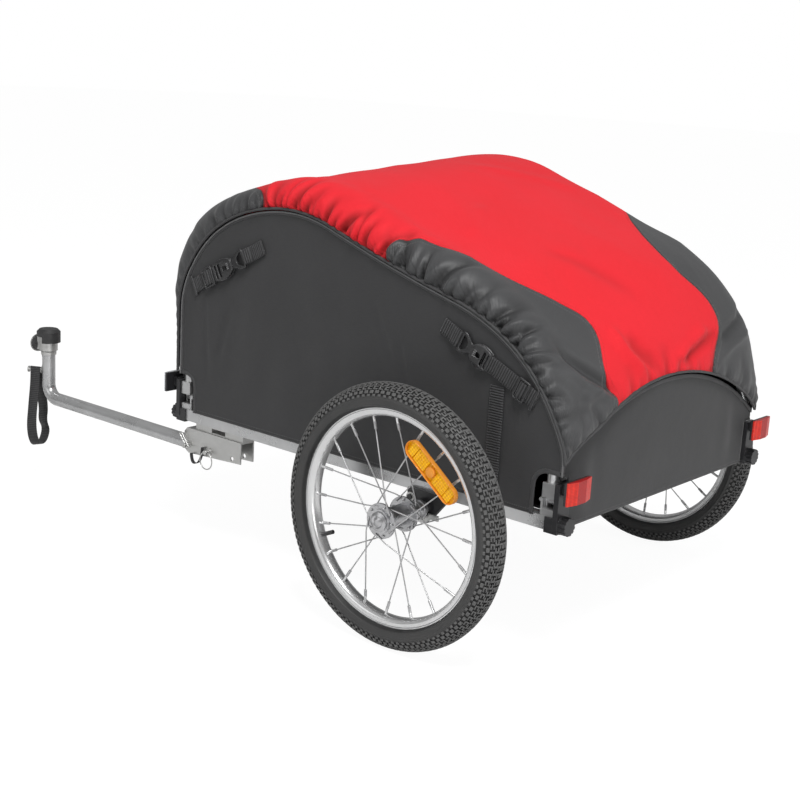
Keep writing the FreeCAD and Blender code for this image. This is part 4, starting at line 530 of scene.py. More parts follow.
def metal(name, dark, light, low_gloss, high_gloss, metallic, patch=14.0, radius=0.0006,
          grain=0.00002, coat=0.0):
    """Bare, plated or painted metal: clouded tone, bright worn edges and a fine grain."""
    material, tree, out, place, cloudy = started(name, patch)
    edge = effect(tree, "edges", Radius=radius)
    tone = tint(tree, cloudy["Cloud"], dark, light)
    tone = over(tree, edge["Edge"], 0.35, tone, grey(0.9))
    gloss = ramp(tree, cloudy["Cloud"], 0, 1, low_gloss, high_gloss)
    normal = bump(tree, noise(tree, place, METAL_GRAIN), grain, edge["Normal"])
    surface(tree, out, Base_Color=tone, Roughness=gloss, Metallic=metallic, Normal=normal,
            Coat_Weight=coat, Coat_Roughness=0.15)
    return material


def moulded(name, colour, dust_wear_and_highlight, gloss, dust=0.25, radius=0.0006, edge_wear_and_highlight=0.3):
    """Moulded plastic or rubber with a spark-eroded grain, a little dust and paler edges: edge wear,
    and on the buckles a painted highlight.
    """
    material, tree, out, place, cloudy = started(name, 22.0)
    edge = effect(tree, "edges", Radius=radius)
    tone = over(tree, cloudy["Cloud"], dust, colour, dust_wear_and_highlight)
    # Edges paled towards the dust colour: edge wear, and where the share is high, as on the buckles,
    # a painted highlight
    tone = over(tree, edge["Edge"], edge_wear_and_highlight, tone, dust_wear_and_highlight)
    normal = bump(tree, noise(tree, place, MOULD_GRAIN, 2.0), MOULD_DEPTH, edge["Normal"])
    level = ramp(tree, cloudy["Cloud"], 0, 1, gloss - 0.06, gloss + 0.08)
    surface(tree, out, Base_Color=tone, Roughness=level, Normal=normal)
    return material


def lens(name, deep, bright, facet=None, cell=0.0021, turn=0, gloss=0.2, glow=0.12):
    """A reflector's coloured lens over its field of small prisms: painted light and painted shade
    mix its bright and deep tones, and it has a painted glow.

    facet names the axis whose slope tells the facets painted lit from the one painted in shade;
    turn is the field's angle in degrees."""
    material, tree, out = blank(name)
    place = put(tree, "TexCoord").outputs["Object"]
    place = put(tree, "Mapping", Vector=place, Rotation=(0, math.radians(turn), 0)).outputs[0]
    prisms = put(tree, "TexVoronoi", {"feature": "F1", "distance": "MANHATTAN"},
                 Vector=place, Scale=1 / cell, Randomness=0.0).outputs["Distance"]
    level = times(tree, ramp(tree, prisms, 0.1, 0.9), 0.5)
    level = calc(tree, "MULTIPLY_ADD", noise(tree, place, 160.0, 2.0), 0.5, level)
    # Facets that face forward are painted darker than the slanted ones: painted shade and painted
    # light by facing
    if facet:
        facing = put(tree, "SeparateXYZ", Vector=put(tree, "NewGeometry").outputs["Normal"])
        flat = ramp(tree, calc(tree, "ABSOLUTE", facing.outputs[facet]), 0.2, 0.05)
        level = calc(tree, "MULTIPLY_ADD", flat, 0.55, level, clamp=True)
    # The tone runs from the painted lit tone (bright) to the painted shaded tone (deep), and the
    # emission is a painted glow
    tone = tint(tree, level, bright, deep)
    surface(tree, out, Base_Color=tone, Roughness=gloss, Normal=bump(tree, prisms, 0.0003),
            Coat_Weight=0.15, Coat_Roughness=0.06, Specular_IOR_Level=0.25, Emission_Color=tone,
            Emission_Strength=glow)
    return material


def pleats(tree, uv, normal):
    """The fine pleats that the elastic puts into the cloth beside the hems."""
    for hem, scale, reach in (("side_hem", (26.0, 150.0, 1.0), 0.05),
                              ("end_hem", (150.0, 26.0, 1.0), 0.035)):
        place = put(tree, "Mapping", Vector=uv, Scale=scale).outputs[0]
        fade = ramp(tree, attribute(tree, hem), reach, 0.0)
        normal = bump(tree, times(tree, noise(tree, place, 1.0, 2.0), fade), 0.0022, normal)
    return normal


def sewn_edge(tree, name, tone, normal, thread):
    """A groove with a painted shadow line in it along a sewn edge, and a row of stitches beside it.
    """
    away = calc(tree, "ABSOLUTE", attribute(tree, name))
    normal = bump(tree, ramp(tree, away, 0.0, 0.003), 0.0012, normal)
    rows = calc(tree, "ABSOLUTE", calc(tree, "SUBTRACT", away, STITCH_AWAY))
    dash = calc(tree, "FRACT", times(tree, attribute(tree, name + "_run"), STITCHES_PER_METRE))
    stitch = times(tree, ramp(tree, rows, 0.0009, 0.0005), ramp(tree, dash, 0.62, 0.55), clamp=True)
    tone = over(tree, stitch, 0.4, tone, thread)
    # Painted shade: a near-black line in the groove
    tone = over(tree, ramp(tree, away, 0.0022, 0.0), 0.5, tone, grey(0.01))
    return tone, bump(tree, stitch, 0.0004, normal)


def cloth(name, colour, worn, rough=0.72, threads=2600.0, seam=None, crumple=0.0006, sheen=0.12,
          thread=None, gathered=None, specular=0.3):
    """Coated polyester: a plain weave with streaky threads, faint crumples and fading.

    seam names the attribute with the distance from a sewn edge, and gathered is the colour of the
    painted shade in the valleys of an elastic hem."""
    material, tree, out, place, cloudy = started(name, 5.0)
    uv = cloth_map(tree)
    weave = effect(tree, "weave", Vector=uv, Threads=threads)
    tone = tint(tree, ramp(tree, weave["Streak"], 0.25, 0.75, 0.0, 0.5), colour, worn)
    tone = over(tree, cloudy["Cloud"], 0.35, tone, worn)
    normal = bump(tree, noise(tree, place, 38.0, 4.0, 0.55), crumple)
    normal = bump(tree, weave["Height"], 0.00012, normal)
    # Painted shade: the valleys of the gathers and folds, and a band along the hems, are darkened
    # towards gathered
    if gathered:
        valley_shade = ramp(tree, attribute(tree, "valley_shade"), 0.0, 1.0, 0.0, 0.85)
        tone = tint(tree, valley_shade, tone, gathered)
        normal = pleats(tree, uv, normal)
    if seam:
        tone, normal = sewn_edge(tree, seam, tone, normal, thread)
    surface(tree, out, Base_Color=tone, Roughness=rough, Normal=normal, Sheen_Weight=sheen,
            Sheen_Roughness=0.45, Specular_IOR_Level=specular)
    return material


def webbing(name, colour, worn):
    """Woven strap with ribs across it, and painted shade in the gaps between the ribs."""
    material, tree, out, _, cloudy = started(name, 30.0)
    weave = effect(tree, "weave", Vector=cloth_map(tree), Threads=4200.0)
    tone = tint(tree, weave["Streak"], colour, worn)
    tone = over(tree, cloudy["Cloud"], 0.3, tone, worn)
    # Painted shade: the low places between the ribs are darkened towards black
    gap = ramp(tree, attribute(tree, "rib"), 0.2, -0.7, 0.0, 0.8)
    surface(tree, out, Base_Color=tint(tree, gap, tone, grey(0.004)), Roughness=0.55,
            Normal=bump(tree, weave["Height"], 0.00005), Sheen_Weight=0.15, Sheen_Roughness=0.4,
            Specular_IOR_Level=0.35)
    return material


def hypotenuse(tree, a, b):
    return calc(tree, "SQRT", calc(tree, "MULTIPLY_ADD", a, a, times(tree, b, b)))


def from_axle(tree, axes):
    """Each point's distance from the wheels' axle, seen from the side."""
    return hypotenuse(tree, calc(tree, "SUBTRACT", axes.outputs["X"], AXLE_X),
                      calc(tree, "SUBTRACT", axes.outputs["Z"], AXLE_Z))


def rim_finish():
    """Polished alloy: bright rolled lips with a painted shadow line in the groove below them, a
    brushed grey face and fine turning marks.
    """
    material, tree, out, place, cloudy = started("polished_rim", 16.0)
    radius = from_axle(tree, put(tree, "SeparateXYZ", Vector=place))
    groove = calc(tree, "ABSOLUTE", calc(tree, "SUBTRACT", radius, RIM_LIP - RIM_GROOVE))
    lip = ramp(tree, groove, 0.0002, 0.0009)
    # Painted shade: the tone is dark in a thin line at the groove
    tone = tint(tree, lip, rgb(0.3, 0.302, 0.306), rgb(0.72, 0.722, 0.725))
    tone = over(tree, cloudy["Cloud"], 0.3, tone, rgb(0.6, 0.602, 0.605))
    turning = calc(tree, "SINE", times(tree, radius, 9000.0))
    surface(tree, out, Base_Color=tone, Roughness=ramp(tree, lip, 0.0, 1.0, 0.4, 0.25),
            Metallic=0.85, Normal=bump(tree, turning, 0.000004))
    return material


def tyre_finish():
    """Tyre rubber: painted shade between the blocks; on the tread tops a lighter tone, partly wear
    and partly painted light; and dust.
    """
    material, tree, out, place, cloudy = started("tyre_rubber", 26.0)
    axes = put(tree, "SeparateXYZ", Vector=place)
    outward_by = calc(tree, "SUBTRACT", from_axle(tree, axes), TYRE_RING)
    sideways = calc(tree, "SUBTRACT", calc(tree, "ABSOLUTE", axes.outputs["Y"]), WHEEL_Y)
    height = hypotenuse(tree, outward_by, sideways)
    # Painted shade: near black between the blocks; the tread tops are lighter than the sidewall,
    # partly wear and partly painted light
    top = ramp(tree, height, CARCASS + 0.0005, SIDE_WALL - 0.0003)
    wall = ramp(tree, outward_by, 0.005, 0.0005)
    crown = tint(tree, wall, rgb(0.105, 0.1048, 0.104), grey(0.036))
    tone = tint(tree, top, rgb(0.009, 0.009, 0.0095), crown)
    tone = over(tree, cloudy["Cloud"], 0.25, tone, rgb(0.06, 0.059, 0.057))
    tone = over(tree, cloudy["Speck"], 0.3, tone, rgb(0.12, 0.118, 0.112))
    surface(tree, out, Base_Color=tone, Roughness=0.55, Specular_IOR_Level=0.45,
            Normal=bump(tree, noise(tree, place, 500.0), 0.00012))
    return material


def finishes():
    EFFECTS.update(weave=weave_group(), patches=grime_group(), edges=edge_group())
    return {
        "silver_paint": metal("silver_paint", rgb(0.46, 0.463, 0.467), rgb(0.56, 0.563, 0.567),
                              0.24, 0.34, 0.78, radius=0.0009, coat=0.15),
        "zinc_steel": metal("zinc_plate", rgb(0.49, 0.49, 0.48), rgb(0.58, 0.58, 0.57),
                            0.34, 0.42, 0.9, patch=24.0),
        "chrome": metal("chrome_plate", rgb(0.40, 0.40, 0.41), rgb(0.58, 0.58, 0.59),
                        0.24, 0.36, 1.0, patch=24.0, radius=0.0002, grain=0.000004),
        "spoke_steel": metal("spoke_steel", rgb(0.38, 0.38, 0.385), rgb(0.52, 0.52, 0.525),
                             0.34, 0.44, 0.55, patch=40.0, radius=0.0001, grain=0.000004),
        "polished_rim": rim_finish(),
        "tyre": tyre_finish(),
        "rubber": moulded("black_rubber", rgb(0.022, 0.022, 0.023), grey(0.09), 0.5),
        "black_plastic": moulded("black_plastic", rgb(0.016, 0.016, 0.0175),
                                 rgb(0.1, 0.1, 0.105), 0.34, dust=0.1),
        # The buckles' pale edges are a painted highlight
        "buckle_plastic": moulded("buckle_plastic", rgb(0.016, 0.016, 0.017),
                                  rgb(0.27, 0.27, 0.275), 0.27, dust=0.04, radius=0.0010,
                                  edge_wear_and_highlight=0.95),
        # The lenses' two tones are painted lit and shaded tones, and their glow, also on the amber
        # rim, is a painted glow
        "red_lens": lens("red_lens", rgb(0.3, 0.006, 0.006), rgb(0.88, 0.045, 0.02), "Y",
                         gloss=0.3, glow=0.16),
        "clear_lens": lens("clear_lens", rgb(0.5, 0.52, 0.54), rgb(0.86, 0.87, 0.88), "Y"),
        "amber_lens": lens("amber_lens", rgb(0.5, 0.16, 0.0), rgb(0.92, 0.56, 0.004), cell=0.0042,
                           turn=41, glow=0.2),
        "amber_rim": lens("amber_rim", rgb(0.62, 0.2, 0.02), rgb(0.8, 0.36, 0.05), cell=0.0012),
        # The gathered colours are painted shade for the cover's valleys
        "red_cloth": cloth("red_cloth", rgb(0.66, 0.009, 0.015), rgb(0.77, 0.017, 0.033),
                           seam="seam", thread=rgb(0.5, 0.008, 0.012), sheen=0.04,
                           gathered=rgb(0.24, 0.003, 0.004)),
        "grey_cloth": cloth("grey_cloth", rgb(0.034, 0.0345, 0.036), rgb(0.06, 0.061, 0.063),
                            rough=0.48, seam="seam", thread=grey(0.12), sheen=0.1,
                            gathered=rgb(0.008, 0.008, 0.0085), specular=0.42),
        "panel_cloth": cloth("panel_cloth", rgb(0.027, 0.027, 0.028), rgb(0.046, 0.046, 0.0475),
                             rough=0.7, seam="edge", thread=grey(0.1), sheen=0.15,
                             crumple=0.0004),
        "binding": cloth("binding_cloth", rgb(0.03, 0.03, 0.031), rgb(0.07, 0.07, 0.072),
                         rough=0.55, threads=4200.0, crumple=0.0003),
        "piping": cloth("piping_cloth", rgb(0.09, 0.09, 0.092), rgb(0.2, 0.2, 0.202),
                        rough=0.5, threads=4200.0, crumple=0.0003),
        "webbing": webbing("strap_webbing", rgb(0.026, 0.026, 0.028), rgb(0.062, 0.062, 0.064)),
    }


# The bent side tube's line, in the side view

POST_FRONT, POST_REAR = 0.548, -0.214
RAIL_TOP = 0.240
LEG_TOP = 0.415
# Each bend's radius and turn; the slope between them is straight
BENDS = (("front", 0.111, 32.0), ("top", 0.261, 76.7), ("slope", 0.0, 0.0),
         ("rear", 0.325, 44.4), ("foot", 0.045, 26.9))
SLOPE = 18.7
PATH_STEP = 0.003
UPWARDS = math.radians(90)


def side_line(offset, low):
    """Points of the tube's line moved outwards, front foot to rear foot.

    Returns (x, z, outward x, outward z) rows and where each stretch starts and ends."""
    heading, used = UPWARDS, 0.0
    bends = [(name, radius + offset, math.radians(turn)) for name, radius, turn in BENDS]
    for _, radius, turn in bends:
        used += radius * (math.sin(heading) - math.sin(heading + turn))
        heading += turn
    straight = (POST_FRONT - POST_REAR + 2 * offset - used) / math.cos(math.radians(SLOPE))
    point, heading, run = np.array([POST_FRONT + offset, low]), UPWARDS, 0.0
    rows, marks = [], {}
    for name, radius, turn in [("front_leg", 0, 0), *bends, ("rear_leg", 0, 0)]:
        plain = {"front_leg": LEG_TOP - low, "slope": straight, "rear_leg": point[1] - low}
        length = plain.get(name, radius * turn)
        steps = max(2, round(length / PATH_STEP))
        for _ in range(steps):
            rows.append((*point, math.sin(heading), -math.cos(heading)))
            heading += turn / steps / 2
            point = point + np.array([math.cos(heading), math.sin(heading)]) * length / steps
            heading += turn / steps / 2
        marks[name] = (run, run + length)
        run += length
    rows.append((*point, math.sin(heading), -math.cos(heading)))
    return np.array(rows), marks


# The rain cover

HEM_OFFSET = 0.015
COVER_LOW = 0.303
COVER_HALF = 0.297
RISE_LEFT, RISE_RIGHT, CROWN = 0.050, 0.082, 0.010
SHOULDER = 0.062
BULGE_SHARE, BULGE_AT_SHARE = 0.2, 0.66
# How much closer the columns lie at the hems than in the middle
CLOSER_SHARE = 0.45
END_RADIUS, END_TOP = 0.490, 0.409
# Stretch of the side line, place along it, then the shares of the left rise, the right rise
# and the crown
STATIONS = (("front_leg", 0.0, 0.25, 0.12, 0.6), ("front_leg", 0.5, 0.45, 0.24, 0.6),
            ("front_leg", 1.0, 0.66, 0.42, 0.5), ("front", 0.5, 0.9, 0.56, 0.4),
            ("front", 1.0, 1.15, 0.68, 0.2), ("top", 0.15, 1.26, 0.76, 0.15),
            ("top", 0.28, 1.1, 0.82, 0.1), ("top", 0.42, 0.84, 0.9, 0.1),
            ("top", 0.55, 0.76, 0.96, 0.15), ("top", 0.75, 0.88, 1.01, 0.3),
            ("top", 1.0, 1.0, 1.04, 0.6), ("slope", 0.5, 1.0, 1.03, 0.9),
            ("slope", 1.0, 1.0, 1.0, 1.0), ("rear", 0.33, 0.93, 0.96, 1.0),
            ("rear", 0.67, 0.74, 0.72, 1.0), ("rear", 1.0, 0.4, 0.16, 1.0),
            ("foot", 1.0, 0.14, 0.0, 1.0), ("rear_leg", 1.0, 0.1, 0.0, 1.0))
# The seam between the red middle and the grey corners, rear to front: shares of the reach
# along the trailer and of the half width
LEFT_SEAM = ((-1.3, 0.5), (-1.1, 0.52), (-1.04, 0.54), (-0.99, 0.61), (-0.93, 0.59),
             (-0.87, 0.535), (-0.8, 0.515), (-0.74, 0.525), (-0.68, 0.57), (-0.62, 0.64),
             (-0.5, 0.7), (-0.36, 0.755), (-0.2, 0.81), (0.0, 0.85), (0.06, 0.885),
             (0.11, 0.925), (0.155, 0.97), (0.18, 1.03), (0.195, 1.1), (0.61, 1.1), (0.65, 1.0),
             (0.7, 0.955), (0.74, 0.91), (0.8, 0.82), (0.87, 0.7), (0.98, 0.55), (1.2, 0.46))
RIGHT_SEAM = ((-1.3, 0.3), (-1.07, 0.35), (-1.05, 0.39), (-1.01, 0.45), (-0.97, 0.55),
              (-0.91, 0.58), (-0.85, 0.57), (-0.77, 0.53), (-0.66, 0.46), (-0.49, 0.47),
              (-0.27, 0.55), (-0.05, 0.68), (0.05, 0.83), (0.1, 0.93), (0.15, 1.1),
              (0.62, 1.1), (0.66, 1.0), (0.72, 0.93), (0.78, 0.8), (0.87, 0.64), (0.98, 0.5),
              (1.2, 0.42))
FRONT_REACH, REAR_REACH = 0.558, 0.224
# How strongly the elastic gathers the cloth: (share of the side hem's run, strength)
GATHER_LEFT = ((0.0, 0.15), (0.1, 0.15), (0.2, 0.3), (0.3, 0.42), (0.36, 0.9), (0.42, 1.1),
               (0.6, 1.1), (0.72, 1.2), (0.86, 1.0), (0.95, 0.4), (1.0, 0.15))
GATHER_RIGHT = ((0.0, 0.1), (0.2, 0.25), (0.4, 0.5), (0.6, 0.5), (0.75, 0.3), (1.0, 0.1))
# Small folds beside a hem: their spacing, reach, depth and width, each from and to
FINE_TUCKS = (0.011, 0.019), (0.03, 0.085), (0.004, 0.009), (0.003, 0.005)
BROAD_TUCKS = (0.03, 0.06), (0.05, 0.1), (0.003, 0.0065), (0.0065, 0.010)
END_TUCKS = (0.016, 0.04), (0.025, 0.07), (0.0015, 0.005), (0.0045, 0.008)
TUCK_LEAN, TUCK_BEND, TUCK_SPREAD = 0.45, 0.25, 0.05
COVER_ROWS, COVER_COLUMNS = 440, 156
CLOTH_THICK = 0.0014
# The cloth's broad ridges and fine ripples, and its swell beside the hems
RIDGE_SIZE, RIDGE_HIGH, RIPPLE_SIZE, RIPPLE_HIGH = 0.22, 0.0016, 0.08, 0.0006
SIDE_SWELL, SIDE_SWELL_REACH, END_SWELL, END_SWELL_REACH = 0.0075, 0.026, 0.003, 0.02
# Depths at which the painted shade in tucks and folds is darkest, the painted shade along a hem, and
# where the hem lies flat
TUCK_DEEP, FOLD_DEEP, HEM_SHADE, HEM_SHADE_REACH, HEM_FLAT = 0.006, 0.011, 0.25, 0.025, 0.005
# How far each side of its cut line a sheet's keep weight runs from 0 to 1
SEAM_SPAN, PANEL_SPAN = 0.012, 0.008
HEM_RADIUS, HEM_OUT, HEM_DROP = 0.0021, 0.0015, 0.002
HEM_SIDES, HEM_SEED = 10, 40
# Passes that ease a level along the side line
EASED = 60
# Folds that the photo shows: the two axes they are drawn in, their points, height and width
FOLDS = (("yz", ((0.118, 0.490), (0.115, 0.450), (0.082, 0.421)), 0.0070, 0.010),
         ("yz", ((0.090, 0.475), (0.080, 0.448), (0.050, 0.428)), -0.0054, 0.012),
         ("yz", ((0.002, 0.425), (-0.043, 0.441), (-0.111, 0.461)), 0.0070, 0.008),
         ("yz", ((-0.020, 0.420), (-0.088, 0.440), (-0.140, 0.452)), -0.0062, 0.008),
         ("yz", ((0.262, 0.478), (0.245, 0.455), (0.211, 0.433), (0.172, 0.405)), -0.0085, 0.010),
         ("yz", ((0.268, 0.455), (0.250, 0.436), (0.218, 0.415), (0.180, 0.394)), 0.0062, 0.009),
         ("yz", ((-0.145, 0.436), (-0.191, 0.454), (-0.268, 0.475)), -0.0070, 0.008),
         ("yz", ((-0.139, 0.415), (-0.191, 0.433), (-0.253, 0.445)), 0.0054, 0.008),
         ("yz", ((0.256, 0.386), (0.234, 0.400), (0.200, 0.410)), 0.0054, 0.008),
         ("xy", ((0.110, 0.060), (0.045, 0.172)), 0.0029, 0.014),
         ("xy", ((0.330, 0.120), (0.200, 0.235)), 0.0026, 0.016),
         ("xy", ((0.060, -0.120), (-0.060, 0.060)), 0.0023, 0.018),
         ("xy", ((-0.040, 0.100), (-0.150, 0.020)), -0.0023, 0.016),
         ("xy", ((0.250, -0.060), (0.120, -0.200)), 0.0026, 0.020))


def end_arch(side):
    return END_TOP - END_RADIUS + np.sqrt(END_RADIUS ** 2 - np.square(side))


def arc_through(a, b, c, count):
    """Points on the circle through three points."""
    a, b, c = (complex(*point) for point in (a, b, c))
    w = (c - a) / (b - a)
    centre = a + (b - a) * (w - abs(w) ** 2) / (2j * w.imag)
    first, middle, last = (cmath.phase(point - centre) for point in (a, b, c))
    turn = math.remainder(middle - first, math.tau) + math.remainder(last - middle, math.tau)
    arc = centre + abs(a - centre) * np.exp(1j * (first + turn * np.linspace(0, 1, count)))
    return np.stack([arc.real, arc.imag], 1)


def cover_section():
    """The cover's full cross-section as (side, rise), from its left hem to its right."""
    crown = (RISE_LEFT + RISE_RIGHT) / 2 + CROWN
    inner, bulge = COVER_HALF - SHOULDER, SHOULDER * BULGE_SHARE
    left = arc_through((COVER_HALF, 0), (COVER_HALF - bulge, RISE_LEFT * BULGE_AT_SHARE),
                       (inner, RISE_LEFT), 30)
    middle = arc_through((inner, RISE_LEFT), (0, crown), (-inner, RISE_RIGHT), 90)
    right = arc_through((-inner, RISE_RIGHT), (bulge - COVER_HALF, RISE_RIGHT * BULGE_AT_SHARE),
                        (-COVER_HALF, 0), 30)
    line = softened(evenly(np.vstack([left, middle[1:], right[1:]]), count=500), EASED)
    share = np.linspace(0, 1, COVER_COLUMNS)
    share -= CLOSER_SHARE * np.sin(math.tau * share) / math.tau
    run = lengths_along(line)
    return np.stack([np.interp(share * run[-1], run, line[:, i]) for i in (0, 1)], 1)


def rises(path, marks, section):
    """How far the cover stands off the side line, for each point of it and each column."""
    run = lengths_along(path[:, :2])
    spots = [marks[name][0] + (marks[name][1] - marks[name][0]) * share
             for name, share, *_ in STATIONS]
    left, right, crown = (softened(np.interp(run, spots, [row[i] for row in STATIONS]), EASED)
                          for i in (2, 3, 4))
    inner = COVER_HALF - SHOULDER
    lean = np.clip(0.5 + section[:, 0] / inner / 2, 0, 1)
    arch = np.clip(1 - np.square(section[:, 0] / inner), 0, 1)
    level = left[:, None] * lean + right[:, None] * (1 - lean)
    return level * section[:, 1] - CROWN * (1 - crown[:, None]) * arch


# How far the left hem stands out past its even line: (place along the trailer, distance)
LEFT_FULLNESS = ((-0.230, 0.0115), (-0.215, 0.0125), (-0.200, 0.0135), (-0.180, 0.0155),
                 (-0.150, 0.0160), (-0.112, 0.0140), (-0.063, 0.0100), (0.030, 0.0035),
                 (0.120, 0.0), (0.360, 0.0), (0.400, 0.0015), (0.440, 0.0040),
                 (0.490, 0.0060), (0.530, 0.0035), (0.550, 0.0010))
LIFT_FROM, LIFT_OVER, LIFT_HIGH = 0.20, 0.085, 0.013


def left_fullness(path):
    return softened(np.interp(path[:, 0], *zip(*LEFT_FULLNESS)), EASED)


def rear_lift(side):
    """How much higher the cover's rear left corner ends than its rear hem's even arch."""
    share = np.clip((np.asarray(side) - LIFT_FROM) / LIFT_OVER, 0, 1)
    return LIFT_HIGH * share * share * (3 - 2 * share)


def seam_outline():
    """The closed wavy line in plan that parts the red middle from the grey corners."""
    points = []
    for side, seam in ((1, LEFT_SEAM), (-1, RIGHT_SEAM)):
        row = [(x * (FRONT_REACH if x > 0 else REAR_REACH), side * COVER_HALF * y)
               for x, y in seam]
        row = softened(evenly(row, count=220), 9)
        points.append(row if side > 0 else row[::-1])
    return np.vstack(points)


def to_segment(points, a, b):
    """How far each point lies from the line from a to b, and the share along it."""
    step = b - a
    share = np.clip(((points - a) @ step) / max(float(step @ step), 1e-18), 0, 1)
    return np.linalg.norm(points - a - share[..., None] * step, axis=-1), share


def signed_distance(points, outline):
    """How far inside a closed outline each point lies, and its place along the outline."""
    best = np.full(len(points), 1e9)
    run_at = np.zeros(len(points))
    inside = np.zeros(len(points), bool)
    closed = np.vstack([outline, outline[:1]])
    for a, b, run in zip(closed[:-1], closed[1:], lengths_along(closed)):
        distance, share = to_segment(points, a, b)
        nearer = distance < best
        best = np.where(nearer, distance, best)
        run_at = np.where(nearer, run + share * math.dist(a, b), run_at)
        if abs(b[1] - a[1]) > 1e-12:
            at = a[0] + (points[:, 1] - a[1]) / (b[1] - a[1]) * (b[0] - a[0])
            inside ^= ((a[1] > points[:, 1]) != (b[1] > points[:, 1])) & (points[:, 0] < at)
    return np.where(inside, best, -best), run_at


def cut_where(obj, keep, span):
    """Trims a sheet along the line where keep falls through zero."""
    group = obj.vertex_groups.new(name="keep")
    weights = np.clip(0.5 + keep / (2 * span), 0, 1)
    for index, weight in enumerate(weights.tolist()):
        if weight > 0:
            group.add([index], weight, "REPLACE")
    finish_with(obj, "MASK", vertex_group="keep", threshold=0.5, use_smooth=True)
    obj.vertex_groups.clear()


def cut_cloth(name, points, faces, uv, values, keep, span, way):
    """Cloth of its own thickness, cut to where keep is above zero, with its face along way."""
    piece = sewn(name, points, faces, uv, values)
    polygons = piece.data.polygons
    if polygons[len(polygons) // 2].normal.dot(way) < 0:
        piece.data.flip_normals()
    cut_where(piece, keep, span)
    return finish_with(piece, "SOLIDIFY", thickness=CLOTH_THICK, offset=-1.0, use_rim=True)


def tucks(run, away, length, seed, spacing, reach, depth, width):
    """The sum of the small folds that an elastic hem gathers in the cloth."""
    draw = random.Random(seed)
    total = np.zeros_like(run)
    spot = draw.uniform(*spacing)
    while spot < length:
        deep, far, wide = (draw.uniform(*pair) for pair in (depth, reach, width))
        slant, bend = draw.uniform(-TUCK_LEAN, TUCK_LEAN), draw.uniform(-TUCK_BEND, TUCK_BEND)
        middle = spot + slant * away + bend * away ** 2 / far
        across = (run - middle) / (wide * (1 + away / TUCK_SPREAD))
        fade = np.clip(1 - away / far, 0, 1) ** 1.2
        fold = np.exp(-across ** 2) - 0.65 * np.exp(-np.square((across - 1.7) / 1.1))
        total -= deep * fade * fold
        spot += draw.uniform(*spacing)
    return total


def fold_lift(points):
    """The height of the long folds at each point of the cover."""
    lift = np.zeros(points.shape[:2])
    place = points - np.array((AXLE_X, 0, 0))
    for axes, line, height, width in FOLDS:
        spot = place[..., ["xyz".index(axis) for axis in axes]]
        nearest, fade = np.full(lift.shape, 9.0), np.ones(lift.shape)
        line = evenly(softened(evenly(line, count=12), 4), count=12)
        for number, (a, b) in enumerate(zip(line[:-1], line[1:])):
            distance, share = to_segment(spot, a, b)
            along = (number + share) / (len(line) - 1)
            fade = np.where(distance < nearest, np.clip(4 * np.minimum(along, 1.15 - along), 0, 1),
                            fade)
            nearest = np.minimum(nearest, distance)
        lift += height * fade * np.exp(-np.square(nearest / width))
    return lift


def cover_sheet():
    """The whole cover as rows from front hem to rear hem and columns from left to right."""
    path, marks = side_line(HEM_OFFSET, COVER_LOW)
    section = cover_section()
    level = rises(path, marks, section)
    points = np.zeros((COVER_ROWS, COVER_COLUMNS, 3))
    hem_run = np.zeros((COVER_ROWS, COVER_COLUMNS))
    along = lengths_along(path[:, :2])
    fullness = left_fullness(path)
    for column, (side, rise) in enumerate(section):
        near_hem = np.clip(1 - rise / RISE_LEFT, 0, 1) if side > 0 else 0.0
        out = level[:, column] + fullness * near_hem
        line = path[:, :2] + path[:, 2:] * out[:, None]
        feet = end_arch(side), end_arch(side) + rear_lift(side)
        first = np.nonzero(line[:, 1] >= feet[0])[0][0]
        last = np.nonzero(line[:, 1] >= feet[1])[0][-1]
        piece, runs = list(line[first:last + 1]), list(along[first:last + 1])
        for end, inner, outer in ((0, first, first - 1), (-1, last, last + 1)):
            if 0 <= outer < len(line):
                share = ((line[inner, 1] - feet[end])
                         / max(line[inner, 1] - line[outer, 1], 1e-9))
                spot = line[inner] + (line[outer] - line[inner]) * share
                piece.insert(0 if end == 0 else len(piece), spot)
                runs.insert(0 if end == 0 else len(runs), along[inner])
        piece = np.array(piece)
        run = lengths_along(piece)
        wanted = np.linspace(0, run[-1], COVER_ROWS)
        points[:, column, 0] = np.interp(wanted, run, piece[:, 0]) + AXLE_X
        points[:, column, 2] = np.interp(wanted, run, piece[:, 1])
        points[:, column, 1] = side
        hem_run[:, column] = np.interp(wanted, run, runs)
    return points, hem_run


def along_grid(points, axis):
    """How far along one axis of a grid each of its points lies."""
    steps = np.diff(points, axis=axis, prepend=points.take([0], axis))
    return np.cumsum(np.linalg.norm(steps, axis=2), axis=axis)


def swell(away, reach):
    """The bulge of gathered cloth beside its hem, 1 at its highest."""
    return away / reach * np.exp(1 - away / reach)


